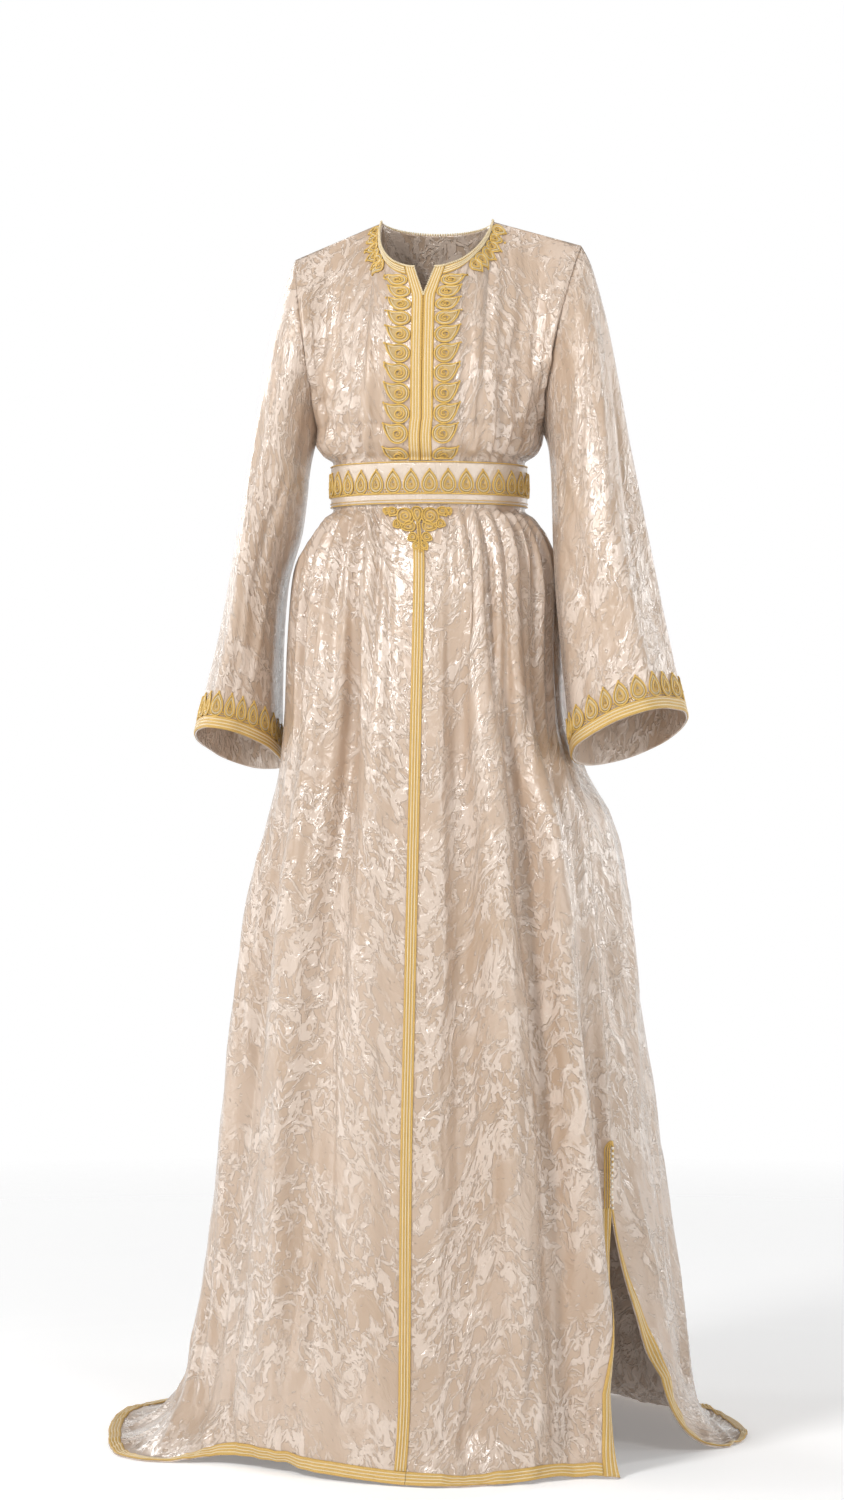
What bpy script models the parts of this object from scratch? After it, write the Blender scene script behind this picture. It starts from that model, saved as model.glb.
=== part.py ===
# Moroccan kaftan in its worn form, metres, +Z up, front facing -Y.
# The origin is midway between the shoulders, level with them, and drops are measured down from it.
# Angles run from the centre front towards +X, seen from above. A grid's rows run down the cloth and
# its columns run round the body in that same sense.
import bpy
import math
import numpy as np

# Driving dimensions
WALL = 0.0016
SEAM_GAP = 0.00025
TRIM_GAP = 0.0003
TRIM_WALL = 0.0012
FLOOR_DROP = 1.434
BELT_TOP_DROP = 0.279
BELT_BOTTOM_DROP = 0.329
BELT_WALL = 0.0020
BELT_GAP = 0.0010
NOTCH_DROP = 0.051
NOTCH_BOTTOM_DROP = 0.085
NOTCH_HALF_WIDTH = 0.0125
NECK_HALF_WIDTH = 0.066
NECK_SIDE_HEIGHT = 0.012
NECK_FRONT_Y = -0.086
NECK_BACK_Y = 0.054
NECK_BACK_HEIGHT = 0.002
FRONT_SHIFT_X = -0.006
BAND_WIDTH = 0.0135
MOTIF_MIDDLE = 0.0285
MOTIF_REACH = 0.0435
NECK_BAND_WIDTH = 0.012
NECK_MOTIF_REACH = 0.038
HEM_BAND_WIDTH = 0.015
CUFF_BAND_WIDTH = 0.015
CUFF_MOTIF_HEIGHT = 0.030
SLIT_TOP_DROP = 1.143
TAB_TOP_DROP = 1.066
TAB_HALF_WIDTH = 0.0075
HEM_START_DROP = 1.342
HEM_REST = 0.0001
# Hem's turn: how far out it lies before it is whole, and where its curve bends, as shares of the way
HEM_TURN_REACH = 0.07
HEM_BEND = 0.25
HEM_BEND_HEIGHT = 0.5

# Bodice: how far each panel leans out, how the armhole bows, and the fullness of the chest
FRONT_LEAN = 0.99
BACK_LEAN = 1.02
SHOULDER_BEND = 0.36
SIDE_PUSH = 0.004
ARMHOLE_BOW = 0.052
ARMHOLE_COLUMNS = 7
BACK_ARMHOLE_COLUMNS = 10
BUST_X = 0.078
BUST_DROP = 0.185
BUST_HALF_WIDTH = 0.045
BUST_HALF_HEIGHT = 0.055
BUST_DEPTH = 0.011

# Sleeve head: how far it stands off the armhole, and shares of the sleeve where its form is reached
ARMHOLE_GAP = 0.0006
ARMHOLE_LIFT = 0.0007
SLEEVE_EASE = 0.22
SLEEVE_FOLD_RISE = 0.35

# Gaps under the trims, thickness of the tab and of a motif's edge, the tab's lower gap and the share of
# its width at its point, and shares of a cell left free where trims meet
DROP_GAP = 0.0006
NECK_MOTIF_GAP = 0.0008
PAISLEY_GAP = 0.0016
PENDANT_GAP = 0.0016
TAB_GAP = 0.0013
TAB_WALL = 0.0014
TAB_END_GAP = 0.001
TAB_POINT_SHARE = 0.55
MOTIF_EDGE = 0.0008
PENDANT_EDGE = 0.0010
BAND_JOIN = 0.03
MOTIF_JOIN = 0.08
NECK_MOTIF_JOIN = 0.06

# Columns of the cloth grids
FRONT_COLUMNS = 16
BACK_COLUMNS = 38
RING_COLUMNS = 2 * FRONT_COLUMNS + BACK_COLUMNS
NECK_COLUMNS = 6
BACK_SHOULDER_COLUMNS = 13
BODICE_ROWS = 11
SLEEVE_ROWS = 8
BELT_COLUMNS = 64
PENDANT_COLUMNS = 7
TAB_COLUMNS = 5
TAB_ROWS = 6

# Rows of the body below the armhole, as drops
RING_DROPS = (0.235, 0.252, 0.2665, 0.2755, 0.3325, 0.341, 0.354, 0.371, 0.392, 0.42, 0.46, 0.52, 0.60,
              0.69, 0.79, 0.92, 1.066, 1.143, 1.21, 1.28, 1.342)
# Rows of the hem's turn, as shares of its length up to the hem band
HEM_ROWS = (0.36, 0.70)

# drop, shift of the centre, half-widths to -X and +X, depths in front and behind
SECTIONS = np.array([
    (0.235, -0.007, 0.134, 0.133, 0.119, 0.098),
    (0.252, -0.008, 0.134, 0.130, 0.120, 0.099),
    (0.2665, -0.008, 0.125, 0.121, 0.115, 0.094),
    (0.2755, -0.0085, 0.1150, 0.1130, 0.1065, 0.0865),
    (0.304, -0.0085, 0.1150, 0.1130, 0.1065, 0.0865),
    (0.3325, -0.0085, 0.1150, 0.1130, 0.1065, 0.0865),
    (0.341, -0.007, 0.125, 0.119, 0.112, 0.095),
    (0.371, -0.003, 0.149, 0.133, 0.123, 0.118),
    (0.392, -0.001, 0.162, 0.139, 0.130, 0.128),
    (0.44, 0.000, 0.172, 0.146, 0.143, 0.145),
    (0.51, 0.000, 0.177, 0.150, 0.158, 0.163),
    (0.58, 0.000, 0.181, 0.157, 0.174, 0.178),
    (0.64, 0.000, 0.188, 0.176, 0.186, 0.191),
    (0.70, 0.000, 0.200, 0.208, 0.198, 0.203),
    (0.795, 0.000, 0.220, 0.227, 0.218, 0.222),
    (0.914, 0.000, 0.233, 0.242, 0.243, 0.247),
    (1.033, 0.000, 0.245, 0.256, 0.268, 0.272),
    (1.152, 0.001, 0.259, 0.270, 0.292, 0.298),
    (1.271, 0.003, 0.279, 0.285, 0.316, 0.328),
    (1.342, 0.004, 0.294, 0.290, 0.330, 0.350),
])

# drop, angles of the side seams at -X, at +X on the front, and at +X on the back (the slit parts them)
SEAMS = np.array([
    (0.235, -90, 90, 90),
    (0.341, -88, 86, 86),
    (0.44, -84, 78, 78),
    (0.58, -79, 70, 70),
    (0.70, -76, 64, 64),
    (0.90, -75, 59, 59),
    (1.066, -75, 55, 55),
    (1.143, -75, 51.8, 51.8),
    (1.21, -75, 47.5, 53.2),
    (1.28, -75, 44.5, 58.0),
    (1.342, -75, 41.8, 67.0),
])
HEM_SEAMS = (-75, 40.5, 84)

# Hem: angle, distance from the axis, height over the floor
HEM = np.array([
    (-180, 0.430, 0.000),
    (-150, 0.440, 0.000),
    (-125, 0.448, 0.000),
    (-108, 0.425, 0.000),
    (-93, 0.400, 0.000),
    (-82, 0.390, 0.000),
    (-72, 0.392, 0.000),
    (-65, 0.395, 0.000),
    (-58, 0.385, 0.000),
    (-52, 0.350, 0.003),
    (-47, 0.312, 0.007),
    (-40, 0.300, 0.010),
    (-32, 0.304, 0.009),
    (-20, 0.320, 0.005),
    (-8, 0.338, 0.002),
    (0, 0.350, 0.000),
    (6, 0.357, 0.000),
    (17, 0.350, 0.000),
    (30, 0.336, 0.003),
    (36, 0.342, 0.002),
    (41, 0.362, 0.000),
    (84, 0.352, 0.000),
    (92, 0.366, 0.000),
    (107, 0.376, 0.000),
    (130, 0.398, 0.000),
    (155, 0.420, 0.000),
    (180, 0.430, 0.000),
])

# Skirt folds: angle under the waist, angle at the hem, half-widths there in degrees,
# depth of the fold (out is positive), drop where it starts
FOLDS = (
    (-22, -6, 6.0, 5.0, 0.006, 0.42),
    (-42, -15, 6.0, 5.0, -0.013, 0.40),
    (-60, -30, 6.0, 5.5, 0.012, 0.55),
    (-74, -46, 5.5, 5.0, -0.018, 0.60),
    (-86, -64, 6.0, 6.0, 0.012, 0.62),
    (-103, -82, 6.5, 6.0, -0.012, 0.55),
    (-118, -100, 7.0, 6.0, 0.014, 0.45),
    (-133, -118, 6.5, 6.0, -0.012, 0.45),
    (-149, -137, 7.0, 6.0, 0.015, 0.42),
    (-165, -156, 6.5, 6.0, -0.012, 0.45),
    (-181, -176, 7.0, 6.5, 0.014, 0.42),
    (163, 165, 6.5, 6.0, -0.012, 0.45),
    (147, 146, 7.0, 6.0, 0.015, 0.42),
    (131, 127, 6.5, 6.0, -0.012, 0.45),
    (116, 108, 7.0, 6.0, 0.013, 0.50),
    (100, 92, 6.5, 5.5, -0.011, 0.66),
    (84, 78, 6.0, 5.5, 0.010, 0.68),
    (70, 63, 5.5, 5.0, -0.009, 0.66),
    (49, 41, 5.5, 4.5, 0.015, 0.56),
    (37, 31, 5.0, 4.5, -0.010, 0.46),
    (27, 22, 5.0, 5.0, 0.008, 0.42),
    (17, 11, 5.0, 4.5, -0.010, 0.40),
)
FOLD_RISE = 0.22
FOLD_DRIFT = 0.6
# Where the sleeves lie on the skirt: drop, height over which it fades, share of the folds pressed out,
# then the angles from the front at which it starts and ends, and those over which it fades there
SLEEVE_REST = (0.54, 0.10, 0.85)
SLEEVE_REST_ANGLES = (25, 135)
SLEEVE_REST_FADES = (25, 20)

# Gathers at the waist: drop, amplitude
GATHERS = np.array([
    (0.150, 0.0000),
    (0.235, 0.0016),
    (0.2665, 0.0032),
    (0.2755, 0.0002),
    (0.304, 0.0000),
    (0.3325, 0.0002),
    (0.341, 0.0030),
    (0.371, 0.0040),
    (0.42, 0.0032),
    (0.51, 0.0018),
    (0.64, 0.0008),
    (0.79, 0.0000),
])

# Sleeves: share of the length, inner edge (x, drop), outer edge (x, drop), y of the middle, half-depth
SLEEVE_LEFT = np.array([
    (0.00, 0.1262, 0.235, 0.172, 0.018, 0.000, 0.055),
    (0.08, 0.1350, 0.256, 0.186, 0.043, -0.008, 0.060),
    (0.20, 0.1385, 0.300, 0.2015, 0.105, -0.020, 0.067),
    (0.35, 0.1410, 0.355, 0.2190, 0.190, -0.034, 0.074),
    (0.50, 0.1450, 0.415, 0.2360, 0.280, -0.048, 0.081),
    (0.65, 0.1510, 0.475, 0.2530, 0.365, -0.062, 0.087),
    (0.80, 0.1590, 0.545, 0.2730, 0.460, -0.074, 0.092),
    (1.00, 0.1680, 0.626, 0.3020, 0.576, -0.090, 0.096),
])
SLEEVE_RIGHT = np.array([
    (0.00, 0.1420, 0.235, 0.170, 0.031, 0.000, 0.055),
    (0.08, 0.1525, 0.256, 0.182, 0.056, 0.002, 0.060),
    (0.20, 0.1560, 0.300, 0.1965, 0.115, 0.006, 0.067),
    (0.35, 0.1640, 0.355, 0.2125, 0.200, 0.012, 0.074),
    (0.50, 0.1830, 0.415, 0.2280, 0.290, 0.018, 0.080),
    (0.65, 0.1900, 0.475, 0.2440, 0.375, 0.023, 0.086),
    (0.80, 0.1925, 0.545, 0.2620, 0.470, 0.027, 0.091),
    (1.00, 0.1930, 0.626, 0.2940, 0.603, 0.030, 0.096),
])
CUFF_TILT = 0.022
# Sleeve folds: angle round the sleeve from its outer edge, half-width in degrees, depth, share of the
# length where it starts
SLEEVE_FOLDS = (
    (70, 16, 0.0045, 0.15),
    (112, 15, -0.0040, 0.25),
    (215, 16, 0.0040, 0.30),
    (250, 15, -0.0045, 0.20),
    (292, 16, 0.0050, 0.12),
    (328, 14, -0.0030, 0.30),
)

# Motif rows
PAISLEY_DROPS = (0.060, 0.0735, 0.088, 0.1035, 0.121, 0.142, 0.165, 0.188, 0.212, 0.2355, 0.259)
NECK_MOTIF_COUNT = 5
# How far a neck motif's point fans out beside the shoulder, in columns, and its height, in rows
NECK_MOTIF_FAN = 0.8
NECK_MOTIF_ROWS = 0.88
BELT_MOTIF_COUNT = 32
CUFF_MOTIF_COUNT = 2 * BODICE_ROWS
# Outline of one drop motif: place along the pitch, share of its height
DROP_OUTLINE = ((0.0, 0.25), (0.5, 1.0))
# Outline of one paisley: place along the pitch, share of its width
PAISLEY_OUTLINE = ((0.0, 0.55), (0.3, 1.0), (0.75, 0.75))
MOTIF_RELIEF = 0.0014
# Share of the relief at a motif's ends, a drop's thickest place, the belt rows that the drops lie between,
# the gap under the last paisley and the place along a paisley where its relief ends
MOTIF_END_SWELL = 0.35
DROP_WAIST = 0.45
BELT_MOTIF_ROWS = (0.17, 0.82)
PAISLEY_END_GAP = 0.0012
PAISLEY_THICK_END = 0.85
# Drops where the placket ends above the belt and where the skirt's band starts under the pendant
PLACKET_END_DROP = 0.2755
SKIRT_BAND_DROP = 0.392
# Pendant: drop, half-width
PENDANT = ((0.3335, 0.034), (0.341, 0.032), (0.350, 0.024), (0.358, 0.019), (0.367, 0.016), (0.376, 0.009),
           (0.384, 0.004))

# Sub-part colours: red, green, blue, roughness, metallic
SATIN = (0.72, 0.62, 0.51, 0.34, 0.0)
GOLD_CORD = (0.62, 0.44, 0.18, 0.38, 0.75)


def clear_scene():
    for obj in list(bpy.data.objects):
        bpy.data.objects.remove(obj, do_unlink=True)


def material(name, finish):
    made = bpy.data.materials.new(name)
    made.use_nodes = True
    shader = made.node_tree.nodes["Principled BSDF"]
    shader.inputs["Base Color"].default_value = (*finish[:3], 1.0)
    shader.inputs["Roughness"].default_value = finish[3]
    shader.inputs["Metallic"].default_value = finish[4]
    return made


def curve(x, xs, ys):
    """Smooth curve through a table's points that never swings past them."""
    xs = np.asarray(xs, float)
    ys = np.asarray(ys, float)
    x = np.clip(np.asarray(x, float), xs[0], xs[-1])
    step = np.diff(xs)
    slope = np.diff(ys) / step
    product = slope[:-1] * slope[1:]
    total = slope[:-1] + slope[1:]
    middle = np.where(product > 0, 2 * product / np.where(product > 0, total, 1.0), 0.0)
    ends = np.concatenate([slope[:1], middle, slope[-1:]])
    i = np.clip(np.searchsorted(xs, x, side="right") - 1, 0, len(step) - 1)
    t = (x - xs[i]) / step[i]
    s = 1 - t
    return (
        (1 + 2 * t) * s * s * ys[i]
        + t * s * s * step[i] * ends[i]
        + t * t * (3 - 2 * t) * ys[i + 1]
        - t * t * s * step[i] * ends[i + 1]
    )


def smooth_step(x):
    x = np.clip(x, 0.0, 1.0)
    return x * x * (3 - 2 * x)


def wrap(angle):
    return (angle + 180.0) % 360.0 - 180.0


def section_radius(angle, drop):
    """Distance from the section's centre to the cloth, before folds and gathers."""
    left, right, front, back = (float(curve(drop, SECTIONS[:, 0], SECTIONS[:, k])) for k in (2, 3, 4, 5))
    a = np.radians(angle)
    wide = np.where(np.sin(a) > 0, right, left)
    deep = np.where(np.cos(a) > 0, front, back)
    return 1.0 / np.sqrt((np.sin(a) / wide) ** 2 + (np.cos(a) / deep) ** 2)


def fold_depth(angle, drop):
    """Broad folds of the skirt, calmer where the sleeves lie against it."""
    share = np.clip((drop - BELT_BOTTOM_DROP) / (HEM_START_DROP - BELT_BOTTOM_DROP), 0.0, 1.0)
    total = np.zeros_like(np.asarray(angle, float))
    for top, hem, wide_top, wide_hem, depth, start in FOLDS:
        middle = top + (hem - top) * share ** FOLD_DRIFT
        width = wide_top + (wide_hem - wide_top) * share
        grown = smooth_step((drop - start) / FOLD_RISE)
        total += depth * grown * np.exp(-((wrap(angle - middle) / width) ** 2))
    level, height, pressed = SLEEVE_REST
    first, last = SLEEVE_REST_ANGLES
    fade_in, fade_out = SLEEVE_REST_FADES
    away = np.abs(wrap(angle))
    beside = smooth_step((away - first) / fade_in) * smooth_step((last - away) / fade_out)
    return total * (1 - pressed * beside * np.exp(-((drop - level) / height) ** 2))


def column_angles(drop):
    """Angles of the ring's columns at one drop, with the fixed widths of the bands next to the edges."""
    if drop > HEM_START_DROP:
        seams = HEM_SEAMS
    else:
        seams = [float(np.interp(drop, SEAMS[:, 0], SEAMS[:, k])) for k in (1, 2, 3)]
    level = min(drop, HEM_START_DROP)
    widths = np.array([0.0, BAND_WIDTH, MOTIF_MIDDLE, MOTIF_REACH])
    near = np.degrees(widths / section_radius(0.0, level))
    edge = np.degrees(BAND_WIDTH / section_radius(seams[1], level))
    free = FRONT_COLUMNS - len(near) - 1

    def front(seam):
        span = np.linspace(near[-1], seam - edge, free + 2)[1:]
        return np.concatenate([near, span, [seam]])

    back_start = seams[2]
    back_end = 360.0 + seams[0]
    inside = np.linspace(back_start + edge, back_end - edge, BACK_COLUMNS - 1)
    back = np.concatenate([[back_start], inside, [back_end]])
    return front(seams[1]), back, 360.0 - front(-seams[0])[::-1]


def ring_point(angle, drop, column):
    """Points of the body's cloth at one drop; column says which gather each lies on."""
    radius = section_radius(angle, drop) + fold_depth(angle, drop)
    near_front = smooth_step((np.minimum(column, RING_COLUMNS - column) - 2.0) / 2.0)
    amplitude = float(curve(drop, GATHERS[:, 0], GATHERS[:, 1]))
    radius = radius - amplitude * np.cos(np.pi * column) * near_front
    shift = float(curve(drop, SECTIONS[:, 0], SECTIONS[:, 1]))
    a = np.radians(angle)
    return np.stack([shift + radius * np.sin(a), -radius * np.cos(a), np.full_like(radius, -drop)], axis=-1)


def along(path, lengths):
    """Points at the given lengths along each column of a path; lengths have a row for each point."""
    steps = np.linalg.norm(np.diff(path, axis=0), axis=2)
    travelled = np.concatenate([np.zeros((1, steps.shape[1])), np.cumsum(steps, axis=0)])
    made = np.empty((len(lengths), path.shape[1], 3))
    for j in range(path.shape[1]):
        for k in range(3):
            made[:, j, k] = np.interp(lengths[:, j], travelled[:, j], path[:, j, k])
    return made


def path_lengths(path):
    return np.linalg.norm(np.diff(path, axis=0), axis=2).sum(axis=0)


def hem_rows(angle, hem_angle, column):
    """Rows from the last whole section down to the hem, which turns outwards where it lies on the floor."""
    start = ring_point(angle, HEM_START_DROP, column)
    a = np.radians(hem_angle)
    table = HEM[:, 0]
    reach = curve(wrap(hem_angle), table, HEM[:, 1])
    height = curve(wrap(hem_angle), table, HEM[:, 2])
    rest = -FLOOR_DROP + WALL + HEM_REST
    end = np.stack([reach * np.sin(a), -reach * np.cos(a), rest + height], axis=-1)
    lies = smooth_step(np.linalg.norm((end - start)[:, :2], axis=1) / HEM_TURN_REACH)
    middle = start + HEM_BEND * (end - start)
    middle[:, 2] = end[:, 2] + (1 - lies) * HEM_BEND_HEIGHT * (start - end)[:, 2]
    t = np.linspace(0, 1, 33)[:, None, None]
    fine = (1 - t) ** 2 * start + 2 * t * (1 - t) * middle + t * t * end
    full = path_lengths(fine)
    lengths = [full * 0] + [(full - HEM_BAND_WIDTH) * share for share in HEM_ROWS]
    lengths += [full - HEM_BAND_WIDTH, full]
    return along(fine, np.array(lengths))[1:]


def body_ring():
    """Grid of the body's cloth below the armholes, once for each of its three panels."""
    rows = [[], [], []]
    columns = [np.arange(FRONT_COLUMNS + 1.0), FRONT_COLUMNS + np.arange(BACK_COLUMNS + 1.0)]
    columns.append(FRONT_COLUMNS + BACK_COLUMNS + np.arange(FRONT_COLUMNS + 1.0))
    for drop in RING_DROPS:
        for k, angles in enumerate(column_angles(drop)):
            rows[k].append(ring_point(angles, drop, columns[k]))
    last = column_angles(HEM_START_DROP)
    hem = column_angles(FLOOR_DROP)
    for k in range(3):
        rows[k] = np.concatenate([np.array(rows[k]), hem_rows(last[k], hem[k], columns[k])])
    return rows


def neck_angle(column):
    """Angle along the front neckline of each column from the notch to the shoulder."""
    return np.interp(column, range(NECK_COLUMNS + 1), (0, 13, 29, 45, 60, 75, 90))


def front_top(column, side, tip):
    """Upper edge of a front: the neckline, then the shoulder seam. The side is +1 towards +X."""
    a = np.radians(neck_angle(column))
    x = NOTCH_HALF_WIDTH + (NECK_HALF_WIDTH - NOTCH_HALF_WIDTH) * np.sin(a)
    z = -NOTCH_DROP + (NECK_SIDE_HEIGHT + NOTCH_DROP) * (1 - np.cos(a))
    y = NECK_FRONT_Y * np.cos(a)
    along_seam = np.clip((column - NECK_COLUMNS) / (FRONT_COLUMNS - NECK_COLUMNS), 0, 1)
    x = side * x + FRONT_SHIFT_X * np.cos(a)
    x = x + along_seam * (tip[0] - side * NECK_HALF_WIDTH)
    z = z + along_seam * (tip[2] - NECK_SIDE_HEIGHT)
    return np.stack([x, y, z], axis=-1)


def back_top(column, tip_left, tip_right):
    """Upper edge of the back from the +X shoulder tip round the neckline to the -X tip."""
    neck = np.clip((column - BACK_SHOULDER_COLUMNS) / (BACK_COLUMNS - 2 * BACK_SHOULDER_COLUMNS), 0, 1)
    a = np.pi * neck
    x = NECK_HALF_WIDTH * np.cos(a)
    y = NECK_BACK_Y * np.sin(a)
    z = NECK_SIDE_HEIGHT - (NECK_SIDE_HEIGHT - NECK_BACK_HEIGHT) * np.sin(a)
    first = np.clip(1 - column / BACK_SHOULDER_COLUMNS, 0, 1)
    last = np.clip(1 - (BACK_COLUMNS - column) / BACK_SHOULDER_COLUMNS, 0, 1)
    x = x + first * (tip_left[0] - NECK_HALF_WIDTH) + last * (tip_right[0] + NECK_HALF_WIDTH)
    z = z + first * (tip_left[2] - NECK_SIDE_HEIGHT) + last * (tip_right[2] - NECK_SIDE_HEIGHT)
    return np.stack([x, y, z], axis=-1)


def drop_shares(length, column_share):
    """Shares of the way down to the chest: band and motif widths at the neck, even at the armhole."""
    fixed = np.array([0.0, NECK_BAND_WIDTH, NECK_MOTIF_REACH])
    even = np.linspace(0, 1, BODICE_ROWS + 1)
    made = np.empty((BODICE_ROWS + 1, len(length)))
    for j, full in enumerate(length):
        rest = np.linspace(fixed[-1] / full, 1, BODICE_ROWS - 1)
        near_neck = np.concatenate([fixed[:-1] / full, rest])
        made[:, j] = near_neck + (even - near_neck) * column_share[j]
    return made


def bodice(top, chest, lean, side_push, column_share):
    """Rows from the upper edge down to the chest, each column a curve that starts upright from below."""
    middle = top * 0.5 + chest * 0.5
    middle[:, 1] = chest[:, 1] * lean
    middle[:, 0] = middle[:, 0] + side_push
    middle[:, 2] = top[:, 2] + (chest[:, 2] - top[:, 2]) * SHOULDER_BEND
    t = np.linspace(0, 1, 49)[:, None, None]
    fine = (1 - t) ** 2 * top + 2 * t * (1 - t) * middle + t * t * chest
    full = path_lengths(fine)
    return along(fine, drop_shares(full, column_share) * full)


def bust(points, side):
    """Soft fullness of the chest on a general figure."""
    x = points[..., 0] - side * BUST_X - FRONT_SHIFT_X
    z = points[..., 2] + BUST_DROP
    points[..., 1] -= BUST_DEPTH * np.exp(-(x / BUST_HALF_WIDTH) ** 2 - (z / BUST_HALF_HEIGHT) ** 2)
    return points


def armhole_bow():
    """How far each row of the armhole bows away from the straight line to the shoulder tip."""
    t = np.linspace(0, 1, BODICE_ROWS + 1)
    return 4 * t * (1 - t) * ARMHOLE_BOW


def front_bodice(chest, side, tip):
    column = np.arange(FRONT_COLUMNS + 1.0)
    edge = smooth_step((column - NECK_COLUMNS) / (FRONT_COLUMNS - NECK_COLUMNS))
    lean = np.where(column < FRONT_COLUMNS, FRONT_LEAN, 1.0)
    grid = bodice(front_top(column, side, tip), chest, lean, side * SIDE_PUSH * edge, edge)
    near_armhole = smooth_step((column - FRONT_COLUMNS + ARMHOLE_COLUMNS) / ARMHOLE_COLUMNS) ** 2
    grid[:, :, 1] -= armhole_bow()[:, None] * near_armhole
    notch = np.clip((NOTCH_BOTTOM_DROP + grid[:, :, 2]) / (NOTCH_BOTTOM_DROP - NOTCH_DROP), 0, 1)
    below_neck = smooth_step(np.arange(BODICE_ROWS + 1) / 2.0)
    for j, reach in enumerate((0.0, BAND_WIDTH, MOTIF_MIDDLE, MOTIF_REACH)):
        pull = below_neck if j > 1 else 1.0
        goal = FRONT_SHIFT_X + side * (reach + NOTCH_HALF_WIDTH * notch[:, j] * (1 - j / 5))
        grid[:, j, 0] += (goal - grid[:, j, 0]) * pull
    return bust(grid, side)


def back_bodice(chest, tip_left, tip_right):
    column = np.arange(BACK_COLUMNS + 1.0)
    top = back_top(column, tip_left, tip_right)
    away = np.minimum(column, BACK_COLUMNS - column)
    edge = smooth_step(1 - away / BACK_SHOULDER_COLUMNS)
    push = np.where(column < BACK_COLUMNS / 2, SIDE_PUSH, -SIDE_PUSH) * edge
    grid = bodice(top, chest, np.full(len(column), BACK_LEAN), push, edge)
    near_armhole = smooth_step(1 - away / BACK_ARMHOLE_COLUMNS) ** 2
    grid[:, :, 1] += armhole_bow()[:, None] * near_armhole
    return grid


def normals(grid, closed=False):
    """Outward normals from central differences."""
    if closed:
        across = np.roll(grid, -1, axis=1) - np.roll(grid, 1, axis=1)
    else:
        across = np.gradient(grid, axis=1)
    down = np.gradient(grid, axis=0)
    out = np.cross(down, across)
    return out / np.linalg.norm(out, axis=2, keepdims=True)


def unit(vectors):
    return vectors / np.linalg.norm(vectors, axis=-1, keepdims=True)


def mesh_object(name, points, faces, finish):
    mesh = bpy.data.meshes.new(name)
    mesh.from_pydata([tuple(p) for p in points], [], faces)
    mesh.materials.append(finish)
    mesh.shade_smooth()
    mesh.set_sharp_from_angle(angle=math.radians(50))
    obj = bpy.data.objects.new(name, mesh)
    bpy.context.scene.collection.objects.link(obj)
    return obj


def wall(name, outer, inner, finish, closed=False):
    """A solid wall between two grids of points that match."""
    rows, columns = outer.shape[:2]
    count = rows * columns

    def at(layer, i, j):
        return layer * count + i * columns + j % columns

    faces = []
    for i in range(rows - 1):
        for j in range(columns if closed else columns - 1):
            for layer in (0, 1):
                a, b = at(layer, i, j), at(layer, i + 1, j)
                c, d = at(layer, i + 1, j + 1), at(layer, i, j + 1)
                faces += [(a, b, c), (a, c, d)] if layer == 0 else [(c, b, a), (d, c, a)]
    borders = [((rows - 1, j), (rows - 1, j + 1)) for j in range(columns if closed else columns - 1)]
    borders += [((0, j + 1), (0, j)) for j in range(columns if closed else columns - 1)]
    if not closed:
        borders += [((i, 0), (i + 1, 0)) for i in range(rows - 1)]
        borders += [((i + 1, columns - 1), (i, columns - 1)) for i in range(rows - 1)]
    for start, end in borders:
        a, b = at(0, *start), at(0, *end)
        faces += [(b, a, a + count), (b, a + count, b + count)]
    points = np.concatenate([outer.reshape(-1, 3), inner.reshape(-1, 3)])
    return mesh_object(name, points, faces, finish)


class Cloth:
    """A grid with its normals, which can be read between its points as its flat facets lie."""

    def __init__(self, grid, normal, closed=False):
        self.grid = grid
        self.normal = normal
        self.closed = closed

    def at(self, column, row):
        rows, columns = self.grid.shape[:2]
        most = columns if self.closed else columns - 1
        i = int(min(max(math.floor(row), 0), rows - 2))
        j = int(math.floor(column)) if self.closed else int(min(max(math.floor(column), 0), most - 1))
        down, over = row - i, column - j
        found = []
        for source in (self.grid, self.normal):
            a, b = source[i, j % columns], source[i + 1, j % columns]
            c, d = source[i + 1, (j + 1) % columns], source[i, (j + 1) % columns]
            if down >= over:
                found.append(a + down * (b - a) + over * (c - b))
            else:
                found.append(a + over * (d - a) + down * (c - d))
        return found[0], found[1] / np.linalg.norm(found[1])

    def row_at_drop(self, column, drop):
        """The row, with its fraction, where a column passes a drop."""
        return float(np.interp(drop, -self.grid[:, int(column), 2], np.arange(len(self.grid))))


def on_cloth(name, cloth, places, lifts, finish, closed=False, gap=TRIM_GAP):
    """A trim on a cloth: places is a grid of (column, row), lifts the thickness at each place."""
    rows, columns = len(places), len(places[0])
    outer = np.empty((rows, columns, 3))
    inner = np.empty((rows, columns, 3))
    for i in range(rows):
        for j in range(columns):
            point, normal = cloth.at(*places[i][j])
            inner[i, j] = point + normal * gap
            outer[i, j] = point + normal * (gap + lifts[i][j])
    return wall(name, outer, inner, finish, closed)


def block(name, cloth, columns, rows, finish, lift=TRIM_WALL, closed=False):
    """A band over whole cells of a cloth's grid."""
    places = [[(j, i) for j in columns] for i in rows]
    return on_cloth(name, cloth, places, [[lift] * len(places[0])] * len(places), finish, closed)


def seam_shift(grid, column, towards, amount):
    """Moves an edge column back from its seam, along its own rows."""
    step = grid[:, column] - grid[:, towards]
    grid[:, column] -= amount * step / np.linalg.norm(step, axis=1, keepdims=True)


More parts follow.
